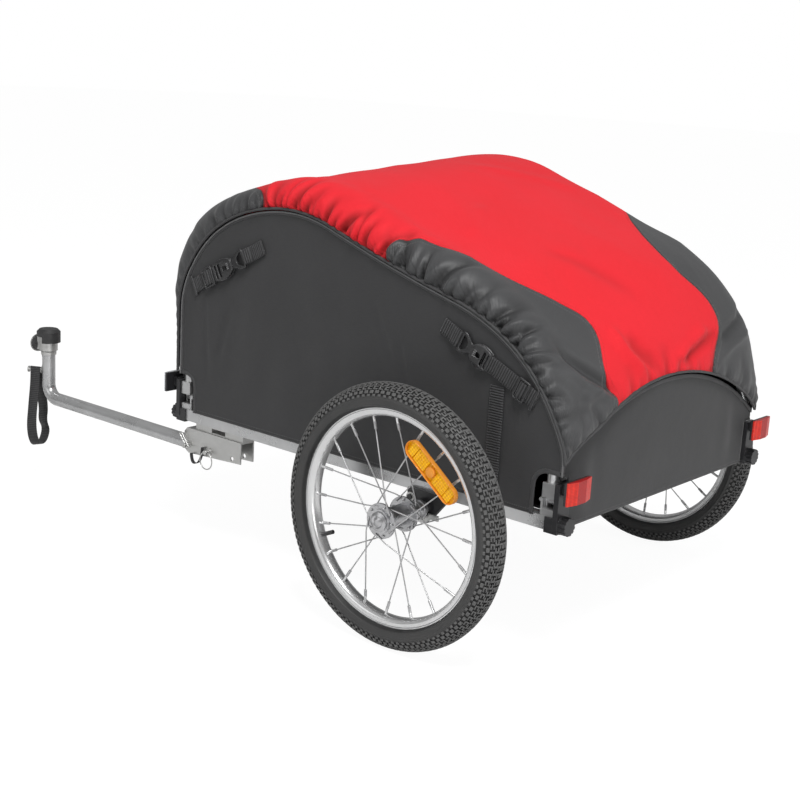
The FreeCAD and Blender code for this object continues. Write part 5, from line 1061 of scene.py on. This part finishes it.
def cover():
    """The red and the grey cloth, and the grid of points that both are cut from."""
    points, hem_run = cover_sheet()
    normals = unit(np.cross(np.gradient(points, axis=0), np.gradient(points, axis=1)))
    section_run, column_run = along_grid(points, 1), along_grid(points, 0)
    left, right = section_run, section_run[:, -1:] - section_run
    front, rear = column_run, column_run[-1:] - column_run
    plan = points[..., 0], points[..., 1]
    ridges = 1 - 2 * np.abs(np.clip(soft_noise(*plan, RIDGE_SIZE, 5), -1, 1))
    lift = RIDGE_HIGH * ridges + RIPPLE_HIGH * soft_noise(*plan, RIPPLE_SIZE, 6)
    length, width = float(hem_run.max()), float(section_run.max())
    # This mask says where shade is painted into the cloth: in the hollows of the tucks and folds,
    # and in a band along the side hems
    valley_shade = np.zeros_like(lift)
    for away, seed, power in ((left, 21, GATHER_LEFT), (right, 22, GATHER_RIGHT)):
        strong = np.interp(hem_run / length, *zip(*power))
        gathered = (tucks(hem_run, away, length, seed, *FINE_TUCKS)
                    + tucks(hem_run, away, length, seed + 4, *BROAD_TUCKS)) * strong
        lift += gathered + SIDE_SWELL * strong * swell(away, SIDE_SWELL_REACH)
        valley_shade += np.clip(-gathered / TUCK_DEEP, 0, 1)
        valley_shade += HEM_SHADE * strong * np.exp(-away / HEM_SHADE_REACH)
    for away, seed in ((front, 31), (rear, 32)):
        gathered = tucks(section_run, away, width, seed, *END_TUCKS)
        lift += gathered + END_SWELL * swell(away, END_SWELL_REACH)
        valley_shade += np.clip(-gathered / TUCK_DEEP, 0, 0.8)
    folds = fold_lift(points)
    lift += folds
    valley_shade += np.clip(-folds / FOLD_DEEP, 0, 0.6)
    side_edge, end_edge = np.minimum(left, right), np.minimum(front, rear)
    lift *= np.clip(np.minimum(side_edge, end_edge) / HEM_FLAT, 0, 1)
    shaped = points + normals * lift[..., None]
    flat = shaped.reshape(-1, 3)
    keep, run = signed_distance(np.stack([flat[:, 0] - AXLE_X, flat[:, 1]], 1), seam_outline())
    uv = np.stack([section_run.ravel(), column_run.ravel()], 1)
    faces = grid_faces(COVER_ROWS, COVER_COLUMNS)
    values = {"seam": keep, "seam_run": run, "side_hem": side_edge, "end_hem": end_edge,
              "valley_shade": np.clip(valley_shade, 0, 1)}
    pieces = []
    for name, part, slot, node in (("cover_red", keep, "red_cloth", "cover_centre"),
                                   ("cover_grey", -keep, "grey_cloth", "cover_corners")):
        pieces.append(cut_cloth(name, flat, faces, uv, values, part, SEAM_SPAN,
                                Vector((0, 0, 1))))
        belong(pieces[-1], slot, slot, "cover", node)
    return pieces, shaped


def ruched(name, line, radius, out_way, seed):
    """An elastic hem: a soft tube whose cloth is bunched along it."""
    line = evenly(softened(evenly(line, step=0.004), 4), step=0.0022)
    run = lengths_along(line)
    ahead = headings(line)
    side = unit(np.cross(ahead, np.broadcast_to(out_way, ahead.shape)))
    up = unit(np.cross(side, ahead))
    puck = 1 + 0.1 * soft_noise(run, run * 0, 0.011, seed) + 0.05 * np.sin(run * math.tau / 0.006)
    angles = math.tau * np.arange(HEM_SIDES) / HEM_SIDES
    rings = line[:, None] + (radius * puck)[:, None, None] * (
        side[:, None] * np.cos(angles)[:, None] + up[:, None] * np.sin(angles)[:, None])
    return tube(name, rings, run, angles * radius)


def cover_hems(shaped):
    """The elastic hem along the cover's two sides and two ends."""
    parts = []
    for column, way in ((0, 1), (-1, -1)):
        edge = shaped[:, column] + np.array((0, way * HEM_OUT, 0))
        drop = np.array((0, 0, HEM_DROP))
        line = np.vstack([edge[0] - drop, edge, edge[-1] - drop])
        parts.append(ruched("hem", line, HEM_RADIUS, (0, way, 0), HEM_SEED + len(parts)))
    for row, way in ((0, 1), (-1, -1)):
        parts.append(ruched("hem", shaped[row, 1:-1], HEM_RADIUS, (way, 0, 0),
                            HEM_SEED + len(parts)))
    hem = join("cover_hems", parts)
    belong(hem, "binding", "grey_cloth", "cover", "cover_hem")
    return hem


# Side and end panels

PANEL_FACE = 0.2928
PANEL_INSET = 0.0114
PIPING_OFFSET = 0.0098
CUT_WIDE, CUT_HIGH, CUT_BEND = 0.034, 0.302, 0.020
PANEL_GRID, PANEL_LAP = 0.004, 0.002
PANEL_RISE, TAPE_RISE, PIPING_RADIUS = 0.0016, 0.0008, 0.0014
SIDE_TAPE, END_TAPE = 0.0062, 0.006
CREASE_DEEP, CREASE_WIDE = 0.0016, 0.007
# Creases in the side panel: place along the trailer, top, foot and slant
PANEL_CREASES = ((0.497, 0.46, 0.29, 0.05), (0.455, 0.44, 0.33, -0.3), (0.105, 0.5, 0.4, 0.5),
                 (0.06, 0.46, 0.34, 0.3))


def side_hem_line(offset, full):
    """The side line at this offset, moved out by the left hem's fullness times full."""
    path, _ = side_line(offset, CUT_HIGH)
    return path, path[:, :2] + path[:, 2:] * left_fullness(path)[:, None] * full


def side_outline(full):
    path, top = side_hem_line(PANEL_INSET, full)

    def corner(x, way):
        """The rounded cut-out beside a corner post, from the post down to the rail."""
        inner = x - way * CUT_WIDE
        turn = [(inner + way * CUT_BEND * (1 - math.sin(a)), CUT_HIGH - CUT_BEND * (1 - math.cos(a)))
                for a in np.linspace(0, math.pi / 2, 9)]
        return [(inner + way * CUT_BEND, CUT_HIGH)] + turn + [(inner, RAIL_TOP - PANEL_LAP)]
    return np.array(corner(path[0, 0], 1)[::-1] + top.tolist() + corner(path[-1, 0], -1))


def panel_sheet(name, outline, place, bulge, way):
    """A sheet cut to an outline: place puts (u, v, out) into space."""
    us, vs = (np.arange(low, high + PANEL_GRID, PANEL_GRID)
              for low, high in zip(outline.min(0) - PANEL_GRID, outline.max(0) + PANEL_GRID))
    v, u = np.meshgrid(vs, us, indexing="ij")
    uv = np.stack([u.ravel(), v.ravel()], 1)
    keep, run = signed_distance(uv, outline)
    points = place(u, v, bulge(u, v, keep.reshape(u.shape))).reshape(-1, 3)
    return cut_cloth(name, points, grid_faces(len(vs), len(us)), uv,
                     {"edge": keep, "edge_run": run}, keep, PANEL_SPAN, Vector(way))


def bound_edge(name, outline, place, width):
    """A folded tape along an outline, lying on the sheet."""
    line = evenly(outline, step=0.004)
    ahead = headings(np.hstack([line, np.zeros((len(line), 1))]))[:, :2]
    inward = np.stack([-ahead[:, 1], ahead[:, 0]], 1)
    probe, _ = signed_distance(line + inward * 0.003, outline)
    if np.median(probe) < 0:
        inward = -inward
    corners = ((0, -0.0016), (0, TAPE_RISE), (0.0008, TAPE_RISE + 0.0003),
               (width - 0.0008, TAPE_RISE + 0.0003), (width, TAPE_RISE), (width, 0.0))
    spots = [(*(line + inward * across).T, np.full(len(line), height))
             for across, height in corners]
    around = np.array([0, 0.002, 0.003, width, width + 0.001, width + 0.003])
    return tube(name, np.stack([place(*spot) for spot in spots], 1), lengths_along(line), around)


def side_panel(full):
    """The left side's cloth, its bound edge and its piping; full moves their line out."""
    outline = side_outline(full)

    def place(u, v, out):
        return np.stack([u + AXLE_X, PANEL_FACE + PANEL_RISE + out, v], -1)

    def bulge(u, v, keep):
        soft = np.clip((keep - 0.004) / 0.06, 0, 1)
        out = 0.0013 * soft_noise(u, v * 0.4, 0.12, 3) + 0.0008 * soft_noise(u * 2, v * 0.3, 0.1, 4)
        for x, top, foot, slant in PANEL_CREASES:
            middle = x + (v - (top + foot) / 2) * slant
            ends = np.clip(np.minimum(top - v, v - foot) / 0.03, 0, 1)
            out -= CREASE_DEEP * ends * np.exp(-np.square((u - middle) / CREASE_WIDE))
        return (np.minimum(out, 0.0008) - 0.0008) * soft
    panel = panel_sheet("side_panel_cloth", outline, place, bulge, (0, 1, 0))
    tape = bound_edge("side_binding", outline, place, SIDE_TAPE)
    _, piped = side_hem_line(PIPING_OFFSET, full)
    line = np.stack([piped[:, 0] + AXLE_X, np.full(len(piped), PANEL_FACE + 2 * PANEL_RISE),
                     piped[:, 1]], 1)
    return panel, tape, ruched("side_piping", line, PIPING_RADIUS, (0, 1, 0), 51)


def side_panels():
    """The left and the right side's panel, tape and piping."""
    groups = []
    for side, full in (("left", 1.0), ("right", 0.0)):
        group = []
        for piece, finish in zip(side_panel(full), ("panel_cloth", "binding", "piping")):
            name = f"{piece.name}_{side}"
            if side == "right":
                source, piece = piece, twin(piece, name)
                bpy.data.objects.remove(source)
            piece.name = name
            belong(piece, finish, "grey_cloth", "arch_" + side,
                   None if group else "side_panel_" + side)
            group.append(piece)
        groups.append(group)
    return groups


END_WING, END_LEDGE, END_HALF, END_FOOT = 0.2875, 0.292, 0.268, 0.219
END_MARGIN, END_POINTS = 0.0048, 60


def end_outline(way):
    centre = END_TOP - END_RADIUS
    top = [(y, centre + math.sqrt((END_RADIUS - END_MARGIN) ** 2 - y * y)
            + (rear_lift(y) if way < 0 else 0))
           for y in np.linspace(END_WING, -END_WING, END_POINTS)]
    half = [(END_WING, END_LEDGE), (END_HALF, END_LEDGE), (END_HALF, END_FOOT)]
    return np.array(top + [(-y, z) for y, z in half] + half[::-1])


def end_panels():
    """The front and the rear panel with their tapes."""
    groups = []
    for label, way in (("front", 1), ("rear", -1)):
        low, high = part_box(label + "_panel")
        face = low.x if way > 0 else high.x
        outline = end_outline(way)

        def place(u, v, out):
            return np.stack([face + way * (TAPE_RISE + out), u, v], -1)

        def bulge(u, v, keep):
            soft = np.clip(keep / 0.05, 0, 1)
            out = 0.0016 + 0.0012 * soft_noise(u, v, 0.2, 11 + way)
            out += 0.0012 * np.sin(u * math.tau / 0.07) * np.exp(-np.square((abs(u) - 0.22) / 0.04))
            return out * soft
        panel = panel_sheet(label + "_panel_cloth", outline, place, bulge, (way, 0, 0))
        tape = bound_edge(label + "_binding", outline[:END_POINTS], place, END_TAPE)
        belong(panel, "panel_cloth", "grey_cloth", "chassis", label + "_panel")
        belong(tape, "binding", "grey_cloth", "chassis")
        groups.append((panel, tape))
    return groups


# Buckle straps on the side panels

STRAP_FACE = 0.2951
WEB_WIDE, WEB_THICK = 0.025, 0.0016
RIB_PITCH = 0.0040
# Each strap: its way along the trailer, its start, its slope in degrees, then along it the
# buckle's start and length, the glide's start and length, and the strap's end
STRAPS = ((1, 0.3746, 0.5390, 27.7, 0.034, 0.076, 0.1150, 0.0265, 0.174),
          (-1, -0.024, 0.474, 24.8, 0.026, 0.060, 0.1390, 0.0215, 0.177))
BUCKLE_WIDE = 0.034
GRIP_STEP, GRIP_DOT = (0.0026, 0.003), 0.0014


def strap_frame(way, reach, rise, slope):
    """Local axes on the panel: x along the strap, y across it, z out of the panel."""
    angle = math.radians(slope)
    along, out = Vector((way * math.cos(angle), 0, -math.sin(angle))), Vector((0, 1, 0))
    return standing(along, out.cross(along), out, (reach + AXLE_X, STRAP_FACE, rise))


def ribbon(name, matrix, points, pitch=RIB_PITCH):
    """A webbing strap through (along, out) points in a strap's own frame."""
    line = evenly(softened(evenly(points, step=0.0025), 3), step=pitch / 8)
    line = np.stack([line[:, 0], np.zeros(len(line)), line[:, 1]], 1)
    side = np.broadcast_to(np.array((0.0, 1.0, 0.0)), line.shape)
    up = unit(np.cross(headings(line), side))
    up = np.where(up[:, 2:3] < 0, -up, up)
    half, edge, top = WEB_WIDE / 2, WEB_THICK * 0.35, WEB_THICK
    profile = [(-half, top * 0.5), (-half + edge, top), (-half * 0.5, top), (0, top),
               (half * 0.5, top), (half - edge, top), (half, top * 0.5), (half - edge, 0),
               (-half + edge, 0)]
    piece = swept(name, line, side, up, profile, (0.32, pitch))
    piece.data.transform(matrix)
    return piece


def bowed(points, steps=6):
    """An outline through these points with eased corners."""
    points = np.vstack([points, points[:1]])
    line = evenly(points, count=len(points) * steps)[:-1]
    return softened(line, 5, closed=True).tolist()


def mirrored(points, half):
    """A closed outline from its one side's points, whose second numbers are shares of half."""
    near = [(x, -half * share) for x, share in points]
    return bowed(near + [(x, -y) for x, y in near[::-1]])


def side_release_buckle(matrix, start, length):
    """The two halves of a squeeze buckle: a curved tongue with a D-shaped eye and a socket."""
    half = BUCKLE_WIDE / 2
    neck, shoulder = length * 0.36, length * 0.5

    def plate(name, outlines, depth, rounding, rise):
        return flat_shape(name, outlines, depth, rounding,
                          matrix @ Matrix.Translation((start, 0, rise)))
    tongue = mirrored([(0, 1), (0.004, 1), (neck * 0.55, 0.84), (neck, 0.42), (shoulder, 0.5)], half)
    eye = mirrored([(0.0034, 0.74), (0.0058, 0.74), (neck * 0.66, 0.3)], half)[::-1]
    body = mirrored([(neck * 1.12, 0.6), (shoulder, 0.8), (length * 0.6, 0.98),
                     (length * 0.78, 1.02), (length, 0.84)], half)
    slots = [rounded_box(length * a, -half * 0.66, length * b, half * 0.66, 0.0012)[::-1]
             for a, b in ((0.76, 0.84), (0.89, 0.95))]
    window = rounded_box(length * 0.56, -half * 0.22, length * 0.7, half * 0.22, 0.002)[::-1]
    parts = [plate("buckle_tongue", [tongue, eye], 0.0042, 0.0011, 0.0036),
             plate("buckle_lid", [body, window] + slots, 0.0024, 0.0009, 0.0068),
             plate("buckle_base", [body] + slots, 0.002, 0.0007, 0.0011)]
    arm = ((neck, 0.3), (shoulder, 0.7), (length * 0.7, 0.98), (length * 0.74, 0.8),
           (shoulder, 0.42))
    wall = ((length * 0.72, 0.82), (length * 0.98, 0.7), (length * 0.98, 0.84),
            (length * 0.72, 1.0))
    for side in (-1, 1):
        for name, points, depth, rounding, rise in (("buckle_arm", arm, 0.0036, 0.0007, 0.0038),
                                                    ("buckle_wall", wall, 0.0072, 0.0006, 0.0040)):
            outline = bowed([(x, side * half * share) for x, share in points])
            parts.append(plate(name, [outline[::side]], depth, rounding, rise))
    for row in range(2):
        for column in range(4):
            x, y = length * 0.5 + row * GRIP_STEP[0], column * GRIP_STEP[1] - 0.0056
            dot = rounded_box(x, y, x + GRIP_DOT, y + GRIP_DOT, 0.0004)
            parts.append(plate("grip", [dot], 0.0008, 0.0002, 0.0082))
    return parts


def tri_glide(matrix, start, long):
    half = BUCKLE_WIDE / 2
    frame_wide, bar = 0.0034, long / 2
    holes = [rounded_box(near, -half + frame_wide, far, half - frame_wide, 0.0014)[::-1]
             for near, far in ((frame_wide, bar - 0.0016), (bar + 0.0016, long - frame_wide))]
    return flat_shape("glide", [rounded_box(0, -half, long, half, 0.0028), *holes], 0.0030, 0.0011,
                      matrix @ Matrix.Translation((start, 0, 0.0058)))


def buckle_straps():
    webs, plastics = [], []
    for way, reach, rise, slope, first, long, glide, wide, last in STRAPS:
        matrix = strap_frame(way, reach, rise, slope)
        after, passed = first + long, glide + wide
        anchor = [(-0.0120, 0.0002), (0.006, 0.0002), (first - 0.008, 0.0006),
                  (first - 0.002, 0.0014), (first + 0.0012, 0.0044), (first - 0.003, 0.0062),
                  (first - 0.012, 0.0040), (first - 0.018, 0.0022)]
        patch = [(-0.0120, 0.0015), (first - 0.0165, 0.0017)]
        band = [(after - 0.0075, 0.0034), (after + 0.006, 0.0012), (glide, 0.0006),
                (passed, 0.0004), (last, 0.0002)]
        tail = [(after - 0.004, 0.0062), (after + 0.006, 0.0026), (glide - 0.002, 0.0020),
                (glide + 0.0036, 0.0022), (glide + wide * 0.36, 0.0078),
                (glide + wide * 0.64, 0.0078), (passed - 0.0036, 0.0022),
                (passed + 0.002, 0.0020), (last - 0.004, 0.0020)]
        webs += [ribbon("strap_web", matrix, points) for points in (anchor, patch, band, tail)]
        plastics += side_release_buckle(matrix, first, long)
        plastics.append(tri_glide(matrix, glide, wide))
        stop = rounded_box(last - 0.0055, -BUCKLE_WIDE / 2, last - 0.0015, BUCKLE_WIDE / 2, 0.001)
        plastics.append(flat_shape("strap_stop", [stop], 0.0026, 0.0006,
                                   matrix @ Matrix.Translation((0, 0, 0.0030))))
    post = standing((0, 0, 1), (1, 0, 0), (0, 1, 0), (-0.116 + AXLE_X, STRAP_FACE, RAIL_TOP))
    webs.append(ribbon("post_webbing", post, [(0.0, 0.0), (0.168, 0.0)], pitch=0.0038))
    pair(join("buckle_straps_web_left", webs), "webbing", "webbing", "arch_", "buckle_straps_")
    pair(join("buckles_left", plastics), "buckle_plastic", "black_plastic", "arch_")


# Safety strap and lanyard

RISER_X, BAR_Y = 0.968, 0.277
STRAP_PIN_Z = 0.229
STRAP_TURN = 30
STRAP_NEAR, STRAP_WIDE, STRAP_THICK, STRAP_DROP = 0.0155, 0.020, 0.0024, 0.151
STRAP_SHARES = ((0.037, 0.05), (0.037, -0.12), (0.11, -0.42), (0.17, -0.74), (0.06, -0.99),
                (-0.16, -1.02), (-0.29, -0.86), (-0.165, -0.72), (-0.21, -0.54), (-0.1, -0.26),
                (-0.037, -0.08), (-0.037, 0.03))
# The strap's twist: share of its length, degrees
STRAP_TWIST = ((0, 0), (0.25, 6), (0.45, -10), (0.62, -16), (0.8, 4), (1, 0))
LANYARD_SHARES = ((0.95, 0.35), (1.0, -0.6), (1.6, -1.75), (2.75, -1.9), (2.85, -0.75))
PIVOT_X, BAR_Z, RING_RADIUS = 0.483, 0.177, 0.015
LANYARD_FACE, LANYARD_WIDE = 0.2928, 0.007


def route(points):
    """The smooth line that a route's control points give."""
    curve = bpy.data.curves.new("route", "CURVE")
    curve.dimensions = "3D"
    curve.resolution_u = 16
    spline = curve.splines.new("NURBS")
    spline.points.add(len(points) - 1)
    for point, place in zip(spline.points, points):
        point.co = (*place, 1)
    spline.order_u = 3
    spline.use_endpoint_u = True
    obj = add("route", curve)
    bpy.context.view_layer.update()
    line = np.array([v.co for v in bpy.data.meshes.new_from_object(obj).vertices])
    bpy.data.objects.remove(obj)
    return line


def flat_strap(name, line, across, wide, thick, pitch, twist=((0, 0), (1, 0))):
    """Webbing whose width lies along a fixed direction, turned about its own line by twist."""
    line = evenly(line, step=pitch / 5)
    ahead = headings(line)
    side = unit(np.broadcast_to(np.asarray(across, float), ahead.shape)
                - ahead * (ahead @ np.asarray(across, float))[:, None])
    up = np.cross(ahead, side)
    run = lengths_along(line)
    angle = np.radians(softened(np.interp(run / run[-1], *zip(*twist)), 30))[:, None]
    side, up = side * np.cos(angle) + up * np.sin(angle), up * np.cos(angle) - side * np.sin(angle)
    half, edge, top = wide / 2, thick * 0.3, thick / 2
    profile = [(-half, 0), (-half + edge, top), (0, top), (half - edge, top), (half, 0),
               (half - edge, -top), (0, -top), (-half + edge, -top)]
    return swept(name, line, side, up, profile, (0.16, pitch)), line


def safety_strap():
    turn = math.radians(STRAP_TURN)
    pin = np.array((math.cos(turn), math.sin(turn), 0.0))
    across = np.array((-math.sin(turn), math.cos(turn), 0.0))
    base = np.array((RISER_X + AXLE_X, BAR_Y, STRAP_PIN_Z)) + pin * (STRAP_NEAR + STRAP_WIDE / 2)
    points = [base + across * x * STRAP_DROP + np.array((0, 0, z * STRAP_DROP))
              for x, z in STRAP_SHARES]
    strap, line = flat_strap("safety_strap_web", route(points), pin, STRAP_WIDE, STRAP_THICK,
                             0.0036, STRAP_TWIST)
    belong(strap, "webbing", "webbing", "tow_bar", "safety_strap")
    long = round(float(lengths_along(line)[-1]), 3)


def lanyard():
    middle = LANYARD_FACE + LANYARD_WIDE / 2
    points = [(PIVOT_X + AXLE_X + x * RING_RADIUS, middle, BAR_Z + z * RING_RADIUS)
              for x, z in LANYARD_SHARES]
    strap, line = flat_strap("lanyard_web", route(points), (0, 1, 0), LANYARD_WIDE, 0.0012, 0.002)
    belong(strap, "webbing", "webbing", BODY_OF["pin_lanyard"], "pin_lanyard")
    long = round(float(lengths_along(line)[-1]), 3)
    tuple(points[0])
    [tuple(spot) for spot in line]


# Tyres

TYRE_RING = 0.1775
CARCASS, TREAD_TOP, SIDE_WALL = 0.0200, 0.0225, 0.0222
TYRE_INSIDE, WALL_RIB = 0.0178, 0.0005
WHEEL_STEPS, TREAD_PITCHES = 144, 112
TREAD_SUNK, HOOK_HALF, HOOK_WIDE = 0.0008, 5.6, 0.0023
# Each row of the tread: its angle round the tyre, its shift along it, its length and width, and
# whether its blocks are hooks (1 opens forwards, -1 backwards) or plain (0)
TREAD_ROWS = ((9, 0.0, 0.0088, 0.0060, 1), (27, 0.5, 0.0088, 0.0062, -1),
              (45, 0.0, 0.0086, 0.0062, 1), (62, 0.5, 0.0074, 0.0056, 0),
              (77, 0.0, 0.0058, 0.0046, 0))
RIM_LIP, RIM_FACE, RIM_BASE = 0.1640, 0.1570, 0.1498
RIM_HALF, RIM_GROOVE = 0.0125, 0.0027
SPOKES, SPOKE_CIRCLE, SPOKE_SEAT, SPOKE_TURN = 20, 0.022, 0.142, 72
FLANGE_HALF = 0.025
NIPPLE_RADIUS, NIPPLE_LONG, NIPPLE_PAST = 0.0021, 0.0115, 0.0045


def carcass_profile():
    """(side, radius) points round the tyre's wall, outside then inside."""
    outer = []
    for angle in np.linspace(-116, 116, 49):
        a = math.radians(angle)
        wall = np.interp(abs(angle), (0, 74, 90, 116), (CARCASS, CARCASS, SIDE_WALL, SIDE_WALL))
        wall += sum(WALL_RIB * math.exp(-((abs(angle) - at) / 1.8) ** 2) for at in (92, 108))
        outer.append((wall * math.sin(a), TYRE_RING + wall * math.cos(a)))
    bead = [(0.0150, RIM_LIP + 0.0010), (0.0127, RIM_LIP + 0.0006), (0.0112, RIM_LIP - 0.0004),
            (0.0106, 0.1610), (0.0101, 0.1578), (0.0062, 0.1562), (0.0060, 0.1604)]
    inner = [(TYRE_INSIDE * math.sin(a), TYRE_RING + TYRE_INSIDE * math.cos(a))
             for a in np.radians(np.linspace(150, -150, 31))]
    return outer + bead + inner + opposite(bead)


def opposite(half):
    return [(-y, r) for y, r in half[::-1]]


def rim_profile():
    """(side, radius) points round the rim's section: rolled lips, flat sides and a round base."""
    half = [(RIM_HALF + side, RIM_LIP - drop)
            for side, drop in ((-0.0020, 0.0010), (-0.0014, 0.0002), (-0.0004, 0), (0.0004, 0.0006),
                               (0.0005, 0.0018), (-0.0002, RIM_GROOVE), (-0.0003, 0.0036),
                               (-0.0006, RIM_LIP - RIM_FACE))]
    half += [(RIM_HALF * math.cos(a) * 0.95, RIM_FACE - (RIM_FACE - RIM_BASE) * math.sin(a))
             for a in np.radians((16, 32, 48, 62, 75, 87))]
    bed = [(0.0022, RIM_BASE + 0.0016), (0.0060, RIM_BASE + 0.0026), (0.0090, RIM_BASE + 0.0050),
           (0.0103, RIM_FACE + 0.0004)]
    return half + opposite(half) + opposite(bed)[::-1] + bed[::-1]


def nipples():
    """The spoke nipples' heads, from the ends of the spokes up to the rim's base."""
    parts = []
    for number in range(SPOKES):
        side = 1 if number % 2 == 0 else -1
        lean = 1 if number // 2 % 2 == 0 else -1
        far = math.tau * number / SPOKES
        near = far + lean * math.radians(SPOKE_TURN)
        foot = Vector((SPOKE_CIRCLE * math.cos(near), side * FLANGE_HALF,
                       SPOKE_CIRCLE * math.sin(near)))
        seat = Vector((SPOKE_SEAT * math.cos(far), 0, SPOKE_SEAT * math.sin(far)))
        run = (seat - foot).normalized()
        bpy.ops.mesh.primitive_cylinder_add(vertices=16, radius=NIPPLE_RADIUS, depth=NIPPLE_LONG)
        stub = bpy.context.object
        turn = run.to_track_quat("Z", "Y").to_matrix().to_4x4()
        stub.data.transform(HUB @ Matrix.Translation(seat + run * NIPPLE_PAST) @ turn)
        parts.append(stub)
    return parts


def spun(name, profile):
    """A closed section of (side, radius) points turned about the left wheel's axle."""
    mesh = bpy.data.meshes.new(name)
    count = len(profile)
    mesh.from_pydata([(AXLE_X, WHEEL_Y + y, AXLE_Z + r) for y, r in profile],
                     [(i, (i + 1) % count) for i in range(count)], [])
    turning = {"steps": WHEEL_STEPS, "angle": math.tau, "center": (AXLE_X, WHEEL_Y, AXLE_Z),
               "axis": (0, 1, 0)}
    return smooth(outward(add(name, mesh), 1e-5, [("spin", turning)]), 34)


def rims():
    hoop = join("polished_rim_left", [spun("rim_hoop", rim_profile())] + nipples())
    pair(hoop, "polished_rim", SLOT_OF["rim_left"], "wheel_", "rim_")


def tread_block(angle, shift, long, wide, high):
    """One tapered tread block on the tyre's crown, with softened edges."""
    low = CARCASS - TREAD_SUNK
    bpy.ops.mesh.primitive_cube_add(size=1)
    block = bpy.context.object
    block.data.transform(Matrix.Diagonal((long, wide, high - low, 1)))
    for vertex in block.data.vertices:
        if vertex.co.z > 0:
            vertex.co.x *= 0.88
            vertex.co.y *= 0.86
    finish_with(block, "BEVEL", width=0.0005, segments=1)
    spin = Matrix.Rotation(shift * math.tau / TREAD_PITCHES, 4, "Y")
    out = Matrix.Rotation(-math.radians(angle), 4, "X")
    block.data.transform(HUB @ spin @ Matrix.Translation((0, 0, TYRE_RING)) @ out
                         @ Matrix.Translation((0, 0, (low + high) / 2)))
    return block


def tyres():
    blocks = []
    for angle, shift, long, wide, hook in TREAD_ROWS:
        top = TREAD_TOP if angle < 60 else TREAD_TOP - 0.0004
        for middle in (angle, -angle):
            if hook:
                blocks += [tread_block(middle - HOOK_HALF, shift, long, HOOK_WIDE, top),
                           tread_block(middle + HOOK_HALF, shift, long, HOOK_WIDE, top),
                           tread_block(middle, shift + hook * 0.24, 0.0030, wide * 0.6,
                                       top - 0.0002)]
            else:
                blocks.append(tread_block(middle, shift, long, wide, top))
    cell = join("tread", blocks)
    bpy.ops.object.empty_add()
    spacer = bpy.context.object
    spacer.matrix_world = HUB @ Matrix.Rotation(math.tau / TREAD_PITCHES, 4, "Y") @ HUB.inverted()
    bpy.context.view_layer.update()
    finish_with(cell, "ARRAY", count=TREAD_PITCHES, use_relative_offset=False,
                use_object_offset=True, offset_object=spacer)
    bpy.data.objects.remove(spacer)
    tyre = join("block_tyre_left", [spun("tyre_wall", carcass_profile()), cell])
    pair(tyre, "tyre", "tyre", "wheel_", "tyre_")


# Spoke reflectors

AMBER_LONG, AMBER_WIDE = 0.111, 0.0268
AMBER_OUT, AMBER_TURN = 0.006, 3.5


def long_oval(length, width, steps=10):
    """A bar's outline with rounded ends."""
    return rounded_box(-length / 2, -width / 2, length / 2, width / 2, width * 0.499, steps)


def spoke_reflectors():
    middle = Vector(middle_of("spoke_reflector_left"))
    out_way = Vector((middle.x - AXLE_X, 0, middle.z - AXLE_Z)).normalized()
    middle += out_way * AMBER_OUT
    out_way.rotate(Matrix.Rotation(math.radians(AMBER_TURN), 3, "Y"))
    along = Vector((0, 1, 0)).cross(out_way)
    place = standing(along, out_way, along.cross(out_way), middle)
    face = along.cross(out_way).y

    def plate(name, outlines, depth, rounding, rise):
        return flat_shape(name, outlines, depth, rounding,
                          place @ Matrix.Translation((0, 0, face * rise)))
    outer, inner, window = (long_oval(AMBER_LONG - less, AMBER_WIDE - less)
                            for less in (0, 0.0024, 0.002))
    parts = [plate("amber_back", [window], 0.0034, 0.0004, -0.0026)]
    frames = [plate("amber_rim", [outer, inner[::-1]], 0.0086, 0.0008, 0.0),
              plate("amber_boss", [long_oval(0.0155, 0.0154)], 0.0052, 0.0010, 0.0016),
              plate("amber_collar", [long_oval(0.0102, 0.0101)], 0.0016, 0.0005, 0.0036)]
    for side in (-1, 1):
        for near, far in ((0.0095, 0.0345), (0.0360, 0.0480)):
            x0, x1 = sorted((side * near, side * far))
            panel = rounded_box(x0, -AMBER_WIDE * 0.4, x1, AMBER_WIDE * 0.4, 0.002)
            parts.append(plate("amber_panel", [panel], 0.0030, 0.0007, 0.0004))
        for number in range(3):
            x = side * (0.0130 + number * 0.0078)
            bar = rounded_box(x - 0.0026, -AMBER_WIDE * 0.24, x + 0.0026, AMBER_WIDE * 0.24, 0.0008)
            parts.append(plate("amber_bar", [bar], 0.0012, 0.0005, 0.0022))
    pair(join("amber_lens_left", parts), "amber_lens", "amber_lens", "wheel_", "spoke_reflector_")
    pair(join("amber_frame_left", frames), "amber_rim", "amber_lens", "wheel_")


# Making the scene

SLOT_OF = {label: node.data.materials[0].name.split(".")[0]
           for label, node in frame["nodes"].items()}
BODY_OF = {node: body for body, nodes in frame["record"]["behaviour"]["bodies"].items()
           for node in nodes}

photographed_view()
studio()
floor()
FINISHES = finishes()
for label, node in frame["nodes"].items():
    dress(node, "spoke_steel" if label.startswith("spokes_") else SLOT_OF[label])

lanyard()
safety_strap()
cover_pieces, cover_grid = cover()
hems = cover_hems(cover_grid)
side_groups = side_panels()
end_groups = end_panels()
buckle_straps()
tyres()
rims()
spoke_reflectors()
